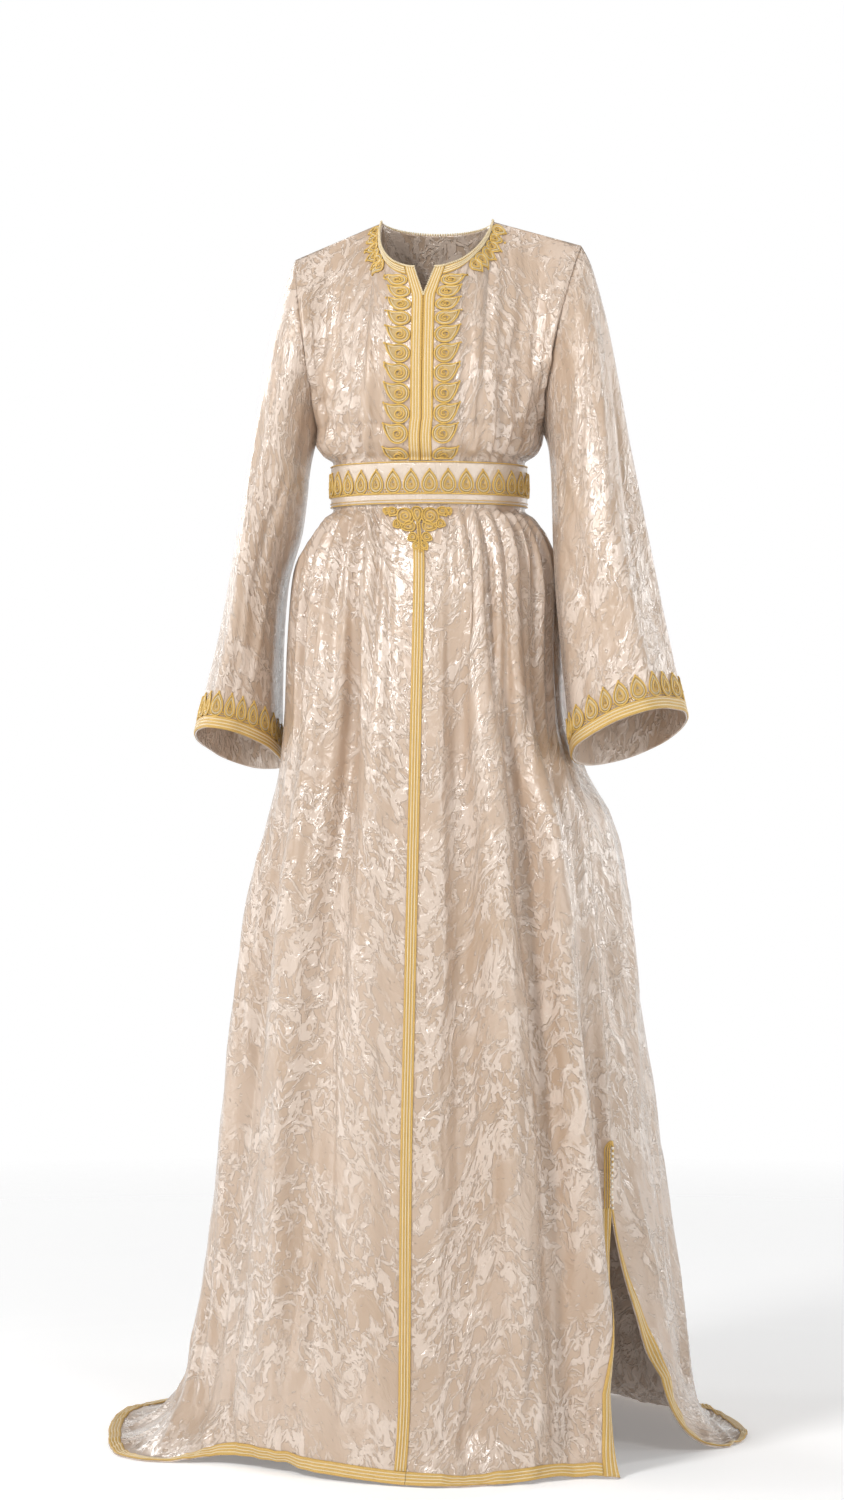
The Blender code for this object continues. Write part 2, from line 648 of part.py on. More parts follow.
def body_panels():
    """The three full-length panels as cloths, cut apart at the centre front, shoulders and side seams."""
    left_ring, back_ring, right_ring = body_ring()
    whole = np.concatenate([left_ring[:, :-1], back_ring[:, :-1], right_ring[:, :-1]], axis=1)
    ring_normal = normals(whole, closed=True)
    ring_normal[:, 0, 0] = 0
    ring_normal = unit(ring_normal)
    tip_left = (SLEEVE_LEFT[0, 3], 0.0, -SLEEVE_LEFT[0, 4])
    tip_right = (-SLEEVE_RIGHT[0, 3], 0.0, -SLEEVE_RIGHT[0, 4])
    right_chest = right_ring[0, ::-1]
    tops = (
        front_bodice(left_ring[0], 1, tip_left)[:-1],
        back_bodice(back_ring[0], tip_left, tip_right)[:-1],
        front_bodice(right_chest, -1, tip_right)[:-1, ::-1],
    )
    starts = (0, FRONT_COLUMNS, FRONT_COLUMNS + BACK_COLUMNS)
    made = []
    for top, ring, start in zip(tops, (left_ring, back_ring, right_ring), starts):
        grid = np.concatenate([top, ring])
        normal = normals(grid)
        seamed = ring_normal[:, np.arange(start, start + ring.shape[1]) % RING_COLUMNS]
        closed_rows = sum(drop <= SLIT_TOP_DROP for drop in RING_DROPS)
        normal[BODICE_ROWS:BODICE_ROWS + closed_rows] = seamed[:closed_rows]
        below = slice(BODICE_ROWS + closed_rows, None)
        normal[below, 1:-1] = seamed[closed_rows:, 1:-1]
        if start != 0:
            seam = -1 if start == FRONT_COLUMNS else 0
            normal[below, seam] = seamed[closed_rows:, seam]
        made.append([grid, normal])
    (left, left_n), (back, back_n), (right, right_n) = made
    for grid, normal, centre in ((left, left_n, 0), (right, right_n, -1)):
        normal[:, centre, 0] = 0
        normal[:, centre] = unit(normal[:, centre])
    slope_left = unit(np.array([NECK_SIDE_HEIGHT - tip_left[2], 0, tip_left[0] - NECK_HALF_WIDTH]))
    slope_right = unit(np.array([tip_right[2] - NECK_SIDE_HEIGHT, 0, -tip_right[0] - NECK_HALF_WIDTH]))
    left_n[0, NECK_COLUMNS:] = slope_left
    right_n[0, :FRONT_COLUMNS - NECK_COLUMNS + 1] = slope_right
    back_n[0, :BACK_SHOULDER_COLUMNS + 1] = slope_left
    back_n[0, -BACK_SHOULDER_COLUMNS - 1:] = slope_right
    left[0, NECK_COLUMNS:, 1] -= SEAM_GAP
    right[0, :FRONT_COLUMNS - NECK_COLUMNS + 1, 1] -= SEAM_GAP
    back[0, :BACK_SHOULDER_COLUMNS + 1, 1] += SEAM_GAP
    back[0, -BACK_SHOULDER_COLUMNS - 1:, 1] += SEAM_GAP
    for grid in (left, back, right):
        seam_shift(grid, 0, 1, SEAM_GAP)
        seam_shift(grid, -1, -2, SEAM_GAP)
    return Cloth(left, left_n), Cloth(back, back_n), Cloth(right, right_n)


def cloth_wall(name, cloth, finish, closed=False):
    return wall(name, cloth.grid, cloth.grid - cloth.normal * WALL, finish, closed)


def armhole(front, back, side):
    """The sleeve's first ring, just outside the edges of the armhole, with the way each edge faces."""
    rows = BODICE_ROWS + 1
    front_edge = -1 if side > 0 else 0
    back_edge = 0 if side > 0 else -1
    edges = []
    for cloth, column, inside in (
        (front, front_edge, front_edge - 1 if side > 0 else 1),
        (back, back_edge, 1 if side > 0 else -2),
    ):
        point = cloth.grid[:rows, column]
        away = unit(point - cloth.grid[:rows, inside])
        normal = cloth.normal[:rows, column]
        edges.append((point + ARMHOLE_GAP * away + ARMHOLE_LIFT * normal, away))
    (front_points, front_away), (back_points, back_away) = edges
    first, second = (back_points, front_points) if side > 0 else (front_points, back_points)
    away_first, away_second = (back_away, front_away) if side > 0 else (front_away, back_away)
    ring = np.concatenate([first[:-1], second[:0:-1]])
    away = np.concatenate([away_first[:-1], away_second[:0:-1]])
    ring[0] = (first[0] + second[0]) / 2
    ring[BODICE_ROWS] = (first[-1] + second[-1]) / 2
    return ring, away


def sleeve(front, back, table, side):
    """A sleeve's cloth from the armhole to the cuff, with its last rows at the band and motif heights."""
    root, away = armhole(front, back, side)
    count = len(root)
    a = 2 * np.pi * np.arange(count) / count
    fine = []
    for share in np.linspace(0, 1, 41):
        inner_x, inner_drop, outer_x, outer_drop, mid_y, deep = (
            float(curve(share, table[:, 0], table[:, k])) for k in range(1, 7)
        )
        inner = np.array([side * inner_x, mid_y, -inner_drop])
        outer = np.array([side * outer_x, mid_y, -outer_drop])
        folds = np.zeros(count)
        for angle, width, depth, start in SLEEVE_FOLDS:
            grown = smooth_step((share - start) / SLEEVE_FOLD_RISE)
            folds += depth * grown * np.exp(-(wrap(np.degrees(a) - angle) / width) ** 2)
        half = (outer - inner) / 2
        half_length = np.linalg.norm(half)
        ring = (inner + outer) / 2 + half * (1 + folds / half_length)[:, None] * np.cos(a)[:, None]
        ring[:, 1] += side * (deep + folds) * np.sin(a)
        ring[:, 2] -= side * CUFF_TILT * share * np.sin(a)
        fine.append(root + (ring - root) * smooth_step(share / SLEEVE_EASE))
    fine = np.array(fine)
    full = path_lengths(fine)
    plain = full - CUFF_BAND_WIDTH - CUFF_MOTIF_HEIGHT
    lengths = [plain * k / SLEEVE_ROWS for k in range(SLEEVE_ROWS + 1)]
    lengths += [full - CUFF_BAND_WIDTH, full]
    grid = along(fine, np.array(lengths))
    normal = normals(grid, closed=True)
    into = np.maximum((normal[0] * away).sum(axis=1, keepdims=True), 0)
    normal[0] = unit(normal[0] - into * away)
    return Cloth(grid, normal, closed=True)


def belt_ring(drop):
    angle = np.arange(BELT_COLUMNS) * 360.0 / BELT_COLUMNS
    radius = section_radius(angle, drop) + BELT_GAP + BELT_WALL
    shift = float(curve(drop, SECTIONS[:, 0], SECTIONS[:, 1]))
    a = np.radians(angle)
    return np.stack([shift + radius * np.sin(a), -radius * np.cos(a), np.full_like(radius, -drop)], axis=-1)


def belt_cloth():
    grid = np.array([belt_ring(drop) for drop in (BELT_TOP_DROP, BELT_BOTTOM_DROP)])
    return Cloth(grid, normals(grid, closed=True), closed=True)


def motif_swell(place):
    """Relief of a motif at a place from 0 to 1 along the row."""
    return MOTIF_RELIEF * (MOTIF_END_SWELL + (1 - MOTIF_END_SWELL) * math.sin(math.pi * place))


def drop_row(name, cloth, count, top_row, base_row, columns, finish):
    """A row of pointed drops round a closed cloth, its base on one row and its points towards another."""
    places = [[], [], []]
    lifts = [[], [], []]
    for k in range(count):
        for place, height in DROP_OUTLINE:
            column = (k + place) * columns / count
            top = base_row + (top_row - base_row) * height
            waist = base_row + (top - base_row) * DROP_WAIST
            swell = motif_swell(place)
            heights = ((top, MOTIF_EDGE), (waist, MOTIF_EDGE + swell), (base_row, MOTIF_EDGE))
            for i, (row, lift) in enumerate(heights):
                places[i].append((column, row))
                lifts[i].append(lift)
    return on_cloth(name, cloth, places, lifts, finish, closed=True, gap=DROP_GAP)


def paisley_row(name, cloth, side, finish):
    """Paisleys beside the placket, one scalloped strip from the neck band to the belt."""
    ends = PAISLEY_DROPS + (BELT_TOP_DROP - PAISLEY_END_GAP,)
    measured = 2 if side > 0 else FRONT_COLUMNS - 2
    start = 1 + MOTIF_JOIN
    places = []
    lifts = []
    for top, bottom in zip(ends[:-1], ends[1:]):
        for place, width in PAISLEY_OUTLINE:
            row = cloth.row_at_drop(measured, top + (bottom - top) * place)
            row = max(row, 1 + NECK_MOTIF_JOIN + place)
            outer = start + (3 - start) * width
            reach = [start, (start + outer) / 2, outer]
            columns = reach if side > 0 else [FRONT_COLUMNS - c for c in reversed(reach)]
            swell = motif_swell(min(place / PAISLEY_THICK_END, 1))
            places.append([(c, row) for c in columns])
            lifts.append([MOTIF_EDGE, MOTIF_EDGE + swell, MOTIF_EDGE])
    return on_cloth(name, cloth, places, lifts, finish, gap=PAISLEY_GAP)


def neck_motif_row(name, cloth, side, finish):
    """Drops that point away from the neck band, from the paisley strip to the shoulder seam."""
    start = 3 + MOTIF_JOIN
    places = [[], [], []]
    lifts = [[], [], []]
    samples = [(k + place, height) for k in range(NECK_MOTIF_COUNT) for place, height in DROP_OUTLINE]
    samples.append((NECK_MOTIF_COUNT, DROP_OUTLINE[0][1]))
    if side < 0:
        samples = samples[::-1]
    for at, height in samples:
        share = at / NECK_MOTIF_COUNT
        reach = start + (NECK_COLUMNS - start) * share
        column = reach if side > 0 else FRONT_COLUMNS - reach
        crown = MOTIF_EDGE + MOTIF_RELIEF * height
        for i, (part, lift) in enumerate(((0.0, MOTIF_EDGE), (0.5, crown), (1.0, MOTIF_EDGE))):
            fan = NECK_MOTIF_FAN * share * part * height * side
            places[i].append((column + fan, 1 + NECK_MOTIF_JOIN + NECK_MOTIF_ROWS * height * part))
            lifts[i].append(lift)
    return on_cloth(name, cloth, places, lifts, finish, gap=NECK_MOTIF_GAP)


def pendant(name, finish):
    """The scrolled motif that hangs from the belt at the centre front."""
    across = np.linspace(-1, 1, PENDANT_COLUMNS)
    swell = PENDANT_EDGE + MOTIF_RELIEF * (1 - across ** 2)
    outer = []
    inner = []
    for drop, half in PENDANT:
        angle = np.degrees(half * across / section_radius(0.0, drop))
        point = ring_point(angle, drop, np.zeros(PENDANT_COLUMNS))
        normal = unit(point * (1, 1, 0) + (0, 0, 0.25))
        inner.append(point + normal * PENDANT_GAP)
        outer.append(point + normal * (PENDANT_GAP + swell[:, None]))
    return wall(name, np.array(outer), np.array(inner), finish)


def slit_tab(name, finish):
    """The narrow tab that closes the top of the slit over the side seam."""
    across = np.linspace(-1, 1, TAB_COLUMNS)
    outer = []
    inner = []
    for drop in np.linspace(TAB_TOP_DROP, SLIT_TOP_DROP - TAB_END_GAP, TAB_ROWS):
        seam = float(np.interp(drop, SEAMS[:, 0], SEAMS[:, 2]))
        half = TAB_HALF_WIDTH * (TAB_POINT_SHARE if drop == TAB_TOP_DROP else 1.0)
        angle = seam + np.degrees(half * across / section_radius(seam, drop))
        point = ring_point(angle, drop, np.zeros(TAB_COLUMNS))
        normal = unit(point * (1, 1, 0))
        inner.append(point + normal * TAB_GAP)
        outer.append(point + normal * (TAB_GAP + TAB_WALL))
    return wall(name, np.array(outer), np.array(inner), finish)


def cuff_trims(name, cloth, finish):
    cuff = len(cloth.grid) - 1
    columns = 2 * BODICE_ROWS
    top, base = cuff - 2 + BAND_JOIN, cuff - 1 - BAND_JOIN
    block("cuff_band_" + name, cloth, range(columns), (cuff - 1, cuff), finish, closed=True)
    drop_row("cuff_motifs_" + name, cloth, CUFF_MOTIF_COUNT, top, base, columns, finish)


def front_trims(left, right, finish):
    """Bands and motifs of the bodice, the pendant and the band down the skirt."""
    last = FRONT_COLUMNS
    belt_row = BODICE_ROWS + RING_DROPS.index(PLACKET_END_DROP)
    block("placket_band_left", left, (0, 1), range(belt_row + 1), finish)
    block("placket_band_right", right, (last - 1, last), range(belt_row + 1), finish)
    neck_columns = [1 + BAND_JOIN, *range(2, NECK_COLUMNS + 1)]
    block("neck_band_left", left, neck_columns, (0, 1), finish)
    block("neck_band_right", right, [last - c for c in reversed(neck_columns)], (0, 1), finish)
    paisley_row("motifs_left", left, 1, finish)
    paisley_row("motifs_right", right, -1, finish)
    neck_motif_row("neck_motifs_left", left, 1, finish)
    neck_motif_row("neck_motifs_right", right, -1, finish)
    pendant("pendant_motif", finish)
    pendant_row = BODICE_ROWS + RING_DROPS.index(SKIRT_BAND_DROP)
    hem = len(right.grid) - 1
    skirt_rows = [*range(pendant_row, hem - 1), hem - 1 - BAND_JOIN]
    block("skirt_band", right, (last - 1, last), skirt_rows, finish)


def hem_trims(left, back, right, finish):
    """Bands round the neck's back, along the hem and up both edges of the slit, and the slit's tab."""
    last = FRONT_COLUMNS
    neck = range(BACK_SHOULDER_COLUMNS, BACK_COLUMNS - BACK_SHOULDER_COLUMNS + 1)
    block("neck_band_back", back, neck, (0, 1), finish)
    hem = len(left.grid) - 1
    hem_band = (hem - 1, hem)
    block("hem_band_right", right, range(last + 1), hem_band, finish)
    block("hem_band_left", left, [*range(last - 1), last - 1 - BAND_JOIN], hem_band, finish)
    block("hem_band_back", back, [1 + BAND_JOIN, *range(2, BACK_COLUMNS + 1)], hem_band, finish)
    slit_row = BODICE_ROWS + RING_DROPS.index(SLIT_TOP_DROP)
    slit_rows = range(slit_row, hem + 1)
    block("slit_band_front", left, (last - 1, last), slit_rows, finish)
    block("slit_band_back", back, (0, 1), slit_rows, finish)
    slit_tab("slit_tab", finish)


def build():
    clear_scene()
    satin = material("satin", SATIN)
    gold = material("gold_cord", GOLD_CORD)
    left, back, right = body_panels()
    cloth_wall("front_left", left, satin)
    cloth_wall("back", back, satin)
    cloth_wall("front_right", right, satin)
    sleeve_left = sleeve(left, back, SLEEVE_LEFT, 1)
    sleeve_right = sleeve(right, back, SLEEVE_RIGHT, -1)
    cloth_wall("sleeve_left", sleeve_left, satin, closed=True)
    cloth_wall("sleeve_right", sleeve_right, satin, closed=True)
    belt = belt_cloth()
    wall("belt", belt.grid, belt.grid - belt.normal * BELT_WALL, satin, closed=True)

    drop_row("belt_motifs", belt, BELT_MOTIF_COUNT, *BELT_MOTIF_ROWS, BELT_COLUMNS, gold)
    for name, cloth in (("left", sleeve_left), ("right", sleeve_right)):
        cuff_trims(name, cloth, gold)
    front_trims(left, right, gold)
    hem_trims(left, back, right, gold)


build()
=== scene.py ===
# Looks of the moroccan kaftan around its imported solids: metres, +Z up, front facing -Y.
import math

import bpy
import numpy as np
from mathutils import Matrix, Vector


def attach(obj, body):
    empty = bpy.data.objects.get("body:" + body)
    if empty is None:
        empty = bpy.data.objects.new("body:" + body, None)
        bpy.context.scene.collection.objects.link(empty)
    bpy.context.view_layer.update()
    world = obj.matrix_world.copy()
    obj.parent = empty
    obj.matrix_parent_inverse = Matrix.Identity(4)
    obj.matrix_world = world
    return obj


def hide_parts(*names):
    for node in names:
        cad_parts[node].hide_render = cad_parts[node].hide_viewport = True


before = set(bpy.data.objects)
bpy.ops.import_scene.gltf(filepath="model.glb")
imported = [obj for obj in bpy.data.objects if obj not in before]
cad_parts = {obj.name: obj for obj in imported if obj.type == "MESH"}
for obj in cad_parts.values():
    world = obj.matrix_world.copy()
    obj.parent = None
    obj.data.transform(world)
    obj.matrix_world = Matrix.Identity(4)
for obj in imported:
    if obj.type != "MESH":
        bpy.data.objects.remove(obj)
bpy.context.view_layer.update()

# Driving dimensions, as in the part
WALL = 0.0016
FLOOR_DROP = 1.434
BELT_TOP_DROP = 0.279
BELT_BOTTOM_DROP = 0.329
BELT_WALL = 0.0020
BELT_GAP = 0.0010
NOTCH_DROP = 0.051
NOTCH_BOTTOM_DROP = 0.085
NOTCH_HALF_WIDTH = 0.0125
NECK_HALF_WIDTH = 0.066
NECK_SIDE_HEIGHT = 0.012
NECK_FRONT_Y = -0.086
NECK_BACK_Y = 0.054
NECK_BACK_HEIGHT = 0.002
FRONT_SHIFT_X = -0.006
BAND_WIDTH = 0.0135
MOTIF_MIDDLE = 0.0285
MOTIF_REACH = 0.0435
NECK_BAND_WIDTH = 0.012
NECK_MOTIF_REACH = 0.038
HEM_BAND_WIDTH = 0.015
CUFF_BAND_WIDTH = 0.015
CUFF_MOTIF_HEIGHT = 0.030
SLIT_TOP_DROP = 1.143
TAB_TOP_DROP = 1.066
HEM_START_DROP = 1.342
FRONT_COLUMNS = 16
BACK_COLUMNS = 38
RING_COLUMNS = 2 * FRONT_COLUMNS + BACK_COLUMNS
NECK_COLUMNS = 6
BACK_SHOULDER_COLUMNS = 13
BODICE_ROWS = 11
NECK_ANGLES = (0, 13, 29, 45, 60, 75, 90)
SIDE_PUSH = 0.004
BODICE_FULLNESS = 0.052
MOTIF_ROW = 8
CUFF_ROW = 9
REST_HEIGHT = -FLOOR_DROP + WALL + 0.0001

# Where the gathers start above and under the belt, and the stretch of cloth that the belt covers
GATHERS_END_DROP = 0.272
GATHERS_START_DROP = 0.334
COVERED_TOP_DROP = 0.262
COVERED_BOTTOM_DROP = 0.346

# A sleeve's usual radius and length for its creases, and how far its root lies inside the armhole
SLEEVE_GIRTH_RADIUS = 0.085
SLEEVE_LENGTH = 0.56
ARMHOLE_INSET = 0.0006

# Mesh fineness; the panels are the front towards +X, the back and the front towards -X
PANELS = ((FRONT_COLUMNS, 112), (BACK_COLUMNS, 202), (FRONT_COLUMNS, 112))
BODICE_SAMPLES = 66
SKIRT_SAMPLES = 150
HEM_SAMPLES = 18
SLEEVE_SAMPLES = 120
SLEEVE_ROWS = 136
BELT_SAMPLES = 320
BELT_ROWS = 12
BEAD_SIDES = 8
BEAD_RINGS = 5
RIPPLE_WAVES = 7

# Camera: level with the middle of the garment, turned a little towards +X
CAMERA_DISTANCE = 5.2
CAMERA_AZIMUTH = 6.0
CAMERA_HEIGHT = -0.616
FRAME_HEIGHT = 1.785
AXIS_RIGHT_OF_CENTRE = 0.0179
SENSOR = 36.0
FLOOR_RADIUS = 4.0

# Soft boxes: name, place, size, power
LIGHT_TARGET_HEIGHT = -0.6
SOFT_BOXES = (
    ("key", (-1.7, -2.9, 1.7), (0.7, 1.2), 92),
    ("fill", (1.5, -3.4, 1.6), (0.8, 0.8), 26),
    ("right_strip", (2.9, -1.3, 0.1), (0.35, 2.6), 17),
    ("left_strip", (-3.1, -0.2, 0.1), (0.35, 2.6), 17),
    ("back_left", (-2.2, 2.8, 0.9), (1.0, 1.8), 34),
    ("back_right", (2.5, 2.5, 0.5), (0.5, 2.4), 24),
    ("top", (0.0, -0.3, 3.0), (2.0, 2.0), 20),
)

# drop, shift of the centre, half-widths to -X and +X, depths in front and behind
SECTIONS = np.array([
    (0.235, -0.007, 0.134, 0.133, 0.119, 0.098),
    (0.252, -0.008, 0.134, 0.130, 0.120, 0.099),
    (0.2665, -0.008, 0.125, 0.121, 0.115, 0.094),
    (0.2755, -0.0085, 0.1150, 0.1130, 0.1065, 0.0865),
    (0.304, -0.0085, 0.1150, 0.1130, 0.1065, 0.0865),
    (0.3325, -0.0085, 0.1150, 0.1130, 0.1065, 0.0865),
    (0.341, -0.007, 0.125, 0.119, 0.112, 0.095),
    (0.371, -0.003, 0.149, 0.133, 0.123, 0.118),
    (0.392, -0.001, 0.162, 0.139, 0.130, 0.128),
    (0.44, 0.000, 0.172, 0.146, 0.143, 0.145),
    (0.51, 0.000, 0.177, 0.150, 0.158, 0.163),
    (0.58, 0.000, 0.181, 0.157, 0.174, 0.178),
    (0.64, 0.000, 0.188, 0.176, 0.186, 0.191),
    (0.70, 0.000, 0.200, 0.208, 0.198, 0.203),
    (0.795, 0.000, 0.220, 0.227, 0.218, 0.222),
    (0.914, 0.000, 0.233, 0.242, 0.243, 0.247),
    (1.033, 0.000, 0.245, 0.256, 0.268, 0.272),
    (1.152, 0.001, 0.259, 0.270, 0.292, 0.298),
    (1.271, 0.003, 0.279, 0.285, 0.316, 0.328),
    (1.342, 0.004, 0.294, 0.290, 0.330, 0.350),
])

# drop, angles of the side seams at -X, at +X on the front, and at +X on the back (the slit parts them)
SEAMS = np.array([
    (0.235, -90, 90, 90),
    (0.341, -88, 86, 86),
    (0.44, -84, 78, 78),
    (0.58, -79, 70, 70),
    (0.70, -76, 64, 64),
    (0.90, -75, 59, 59),
    (1.066, -75, 55, 55),
    (1.143, -75, 51.8, 51.8),
    (1.21, -75, 47.5, 53.2),
    (1.28, -75, 44.5, 58.0),
    (1.342, -75, 41.8, 67.0),
])
HEM_SEAMS = (-75, 40.5, 84)

# Hem: angle, distance from the axis, height over the floor
HEM = np.array([
    (-180, 0.430, 0.000),
    (-150, 0.440, 0.000),
    (-125, 0.448, 0.000),
    (-108, 0.425, 0.000),
    (-93, 0.400, 0.000),
    (-82, 0.390, 0.000),
    (-72, 0.392, 0.000),
    (-65, 0.395, 0.000),
    (-58, 0.385, 0.000),
    (-52, 0.350, 0.003),
    (-47, 0.312, 0.007),
    (-40, 0.300, 0.010),
    (-32, 0.304, 0.009),
    (-20, 0.320, 0.005),
    (-8, 0.338, 0.002),
    (0, 0.350, 0.000),
    (6, 0.357, 0.000),
    (17, 0.350, 0.000),
    (30, 0.336, 0.003),
    (36, 0.342, 0.002),
    (41, 0.362, 0.000),
    (84, 0.352, 0.000),
    (92, 0.366, 0.000),
    (107, 0.376, 0.000),
    (130, 0.398, 0.000),
    (155, 0.420, 0.000),
    (180, 0.430, 0.000),
])

# Skirt folds: angle under the waist, angle at the hem, half-widths there in degrees,
# depth of the fold (out is positive), drop where it starts
FOLDS = (
    (-22, -6, 6.0, 5.0, 0.006, 0.42),
    (-42, -15, 6.0, 5.0, -0.013, 0.40),
    (-60, -30, 6.0, 5.5, 0.012, 0.55),
    (-74, -46, 5.5, 5.0, -0.018, 0.60),
    (-86, -64, 6.0, 6.0, 0.012, 0.62),
    (-103, -82, 6.5, 6.0, -0.012, 0.55),
    (-118, -100, 7.0, 6.0, 0.014, 0.45),
    (-133, -118, 6.5, 6.0, -0.012, 0.45),
    (-149, -137, 7.0, 6.0, 0.015, 0.42),
    (-165, -156, 6.5, 6.0, -0.012, 0.45),
    (-181, -176, 7.0, 6.5, 0.014, 0.42),
    (163, 165, 6.5, 6.0, -0.012, 0.45),
    (147, 146, 7.0, 6.0, 0.015, 0.42),
    (131, 127, 6.5, 6.0, -0.012, 0.45),
    (116, 108, 7.0, 6.0, 0.013, 0.50),
    (100, 92, 6.5, 5.5, -0.011, 0.66),
    (84, 78, 6.0, 5.5, 0.010, 0.68),
    (70, 63, 5.5, 5.0, -0.009, 0.66),
    (49, 41, 5.5, 4.5, 0.015, 0.56),
    (37, 31, 5.0, 4.5, -0.010, 0.46),
    (27, 22, 5.0, 5.0, 0.008, 0.42),
    (17, 11, 5.0, 4.5, -0.010, 0.40),
)
FOLD_RISE = 0.22

# Gathers at the waist: drop, amplitude
GATHERS = np.array([
    (0.150, 0.0000),
    (0.235, 0.0022),
    (0.2665, 0.0036),
    (0.2755, 0.0002),
    (0.304, 0.0000),
    (0.3325, 0.0002),
    (0.341, 0.0036),
    (0.371, 0.0048),
    (0.42, 0.0040),
    (0.51, 0.0022),
    (0.64, 0.0008),
    (0.79, 0.0000),
])

# Sleeves: share of the length, inner edge (x, drop), outer edge (x, drop), y of the middle, half-depth
SLEEVE_LEFT = np.array([
    (0.00, 0.1262, 0.235, 0.172, 0.018, 0.000, 0.055),
    (0.08, 0.1350, 0.256, 0.186, 0.043, -0.008, 0.060),
    (0.20, 0.1385, 0.300, 0.2015, 0.105, -0.020, 0.067),
    (0.35, 0.1410, 0.355, 0.2190, 0.190, -0.034, 0.074),
    (0.50, 0.1450, 0.415, 0.2360, 0.280, -0.048, 0.081),
    (0.65, 0.1510, 0.475, 0.2530, 0.365, -0.062, 0.087),
    (0.80, 0.1590, 0.545, 0.2730, 0.460, -0.074, 0.092),
    (1.00, 0.1680, 0.626, 0.3020, 0.576, -0.090, 0.096),
])
SLEEVE_RIGHT = np.array([
    (0.00, 0.1420, 0.235, 0.170, 0.031, 0.000, 0.055),
    (0.08, 0.1525, 0.256, 0.182, 0.056, 0.002, 0.060),
    (0.20, 0.1560, 0.300, 0.1965, 0.115, 0.006, 0.067),
    (0.35, 0.1640, 0.355, 0.2125, 0.200, 0.012, 0.074),
    (0.50, 0.1830, 0.415, 0.2280, 0.290, 0.018, 0.080),
    (0.65, 0.1900, 0.475, 0.2440, 0.375, 0.023, 0.086),
    (0.80, 0.1925, 0.545, 0.2620, 0.470, 0.027, 0.091),
    (1.00, 0.1930, 0.626, 0.2940, 0.603, 0.030, 0.096),
])
CUFF_TILT = 0.022
# Sleeve folds: angle round the sleeve from its outer edge, half-width in degrees, depth, starting share
SLEEVE_FOLDS = (
    (70, 16, 0.0045, 0.15),
    (112, 15, -0.0040, 0.25),
    (215, 16, 0.0040, 0.30),
    (250, 15, -0.0045, 0.20),
    (292, 16, 0.0050, 0.12),
    (328, 14, -0.0030, 0.30),
)

# Motifs: cords, rows and places
DROP_CORD = 0.0010
PAISLEY_CORD = 0.0011
PAISLEY_DROPS = (0.060, 0.0735, 0.088, 0.1035, 0.121, 0.142, 0.165, 0.188, 0.212, 0.2355, 0.259)
NECK_MOTIF_COUNT = 5
BELT_MOTIF_COUNT = 32
CUFF_MOTIF_COUNT = 22
BELT_MOTIF_BASE = 8.9
KNOTS_END_DROP = 0.162
TAB_HALF_WIDTH = 0.0062
PENDANT_SHIFT = -0.0045
PENDANT_SCROLL = (0.0145, -0.0115, 0.0098)
# Leaves of the pendant: place of the foot across and under the belt, width, length, turn from upright
PENDANT_LEAVES = (
    (0.0265, -0.0010, 0.0115, 0.0120, -150),
    (0.0355, -0.0012, 0.0080, 0.0085, -165),
    (0.0215, -0.0180, 0.0100, 0.0100, -118),
    (0.0045, -0.0215, 0.0115, 0.0165, -104),
    (0.0035, -0.0335, 0.0100, 0.0120, -118),
    (0.0025, -0.0425, 0.0085, 0.0100, -150),
)

# Long soft folds of the skirt: angle at the waist, angle at the hem, drop where it starts, half-width
# in degrees, depth outwards
LONG_FOLD_SCALE = 1.6
LONG_FOLDS = (
    (-46, -42, 0.42, 5.5, 0.0060),
    (-31, -28, 0.40, 4.5, -0.0075),
    (-17, -16, 0.42, 5.0, 0.0055),
    (15, 13, 0.42, 4.5, -0.0070),
    (26, 24, 0.40, 5.0, 0.0060),
    (36, 33, 0.48, 3.5, -0.0060),
    (44, 41, 0.42, 4.0, 0.0065),
    (54, 51, 0.78, 4.5, -0.0080),
    (66, 64, 0.82, 5.0, 0.0070),
    (80, 80, 0.80, 5.0, -0.0070),
    (95, 96, 0.80, 6.0, 0.0070),
    (112, 112, 0.78, 5.5, -0.0075),
    (128, 127, 0.50, 5.0, 0.0065),
    (143, 142, 0.46, 5.0, -0.0070),
    (158, 157, 0.44, 5.0, 0.0060),
    (173, 172, 0.46, 5.0, -0.0070),
    (-172, -171, 0.44, 5.0, 0.0060),
    (-157, -156, 0.46, 5.0, -0.0070),
    (-142, -141, 0.50, 5.5, 0.0065),
    (-126, -126, 0.78, 5.0, -0.0075),
    (-110, -110, 0.80, 6.0, 0.0070),
    (-94, -93, 0.80, 5.0, -0.0070),
    (-78, -76, 0.82, 5.0, 0.0070),
    (-61, -57, 0.78, 5.0, -0.0080),
)

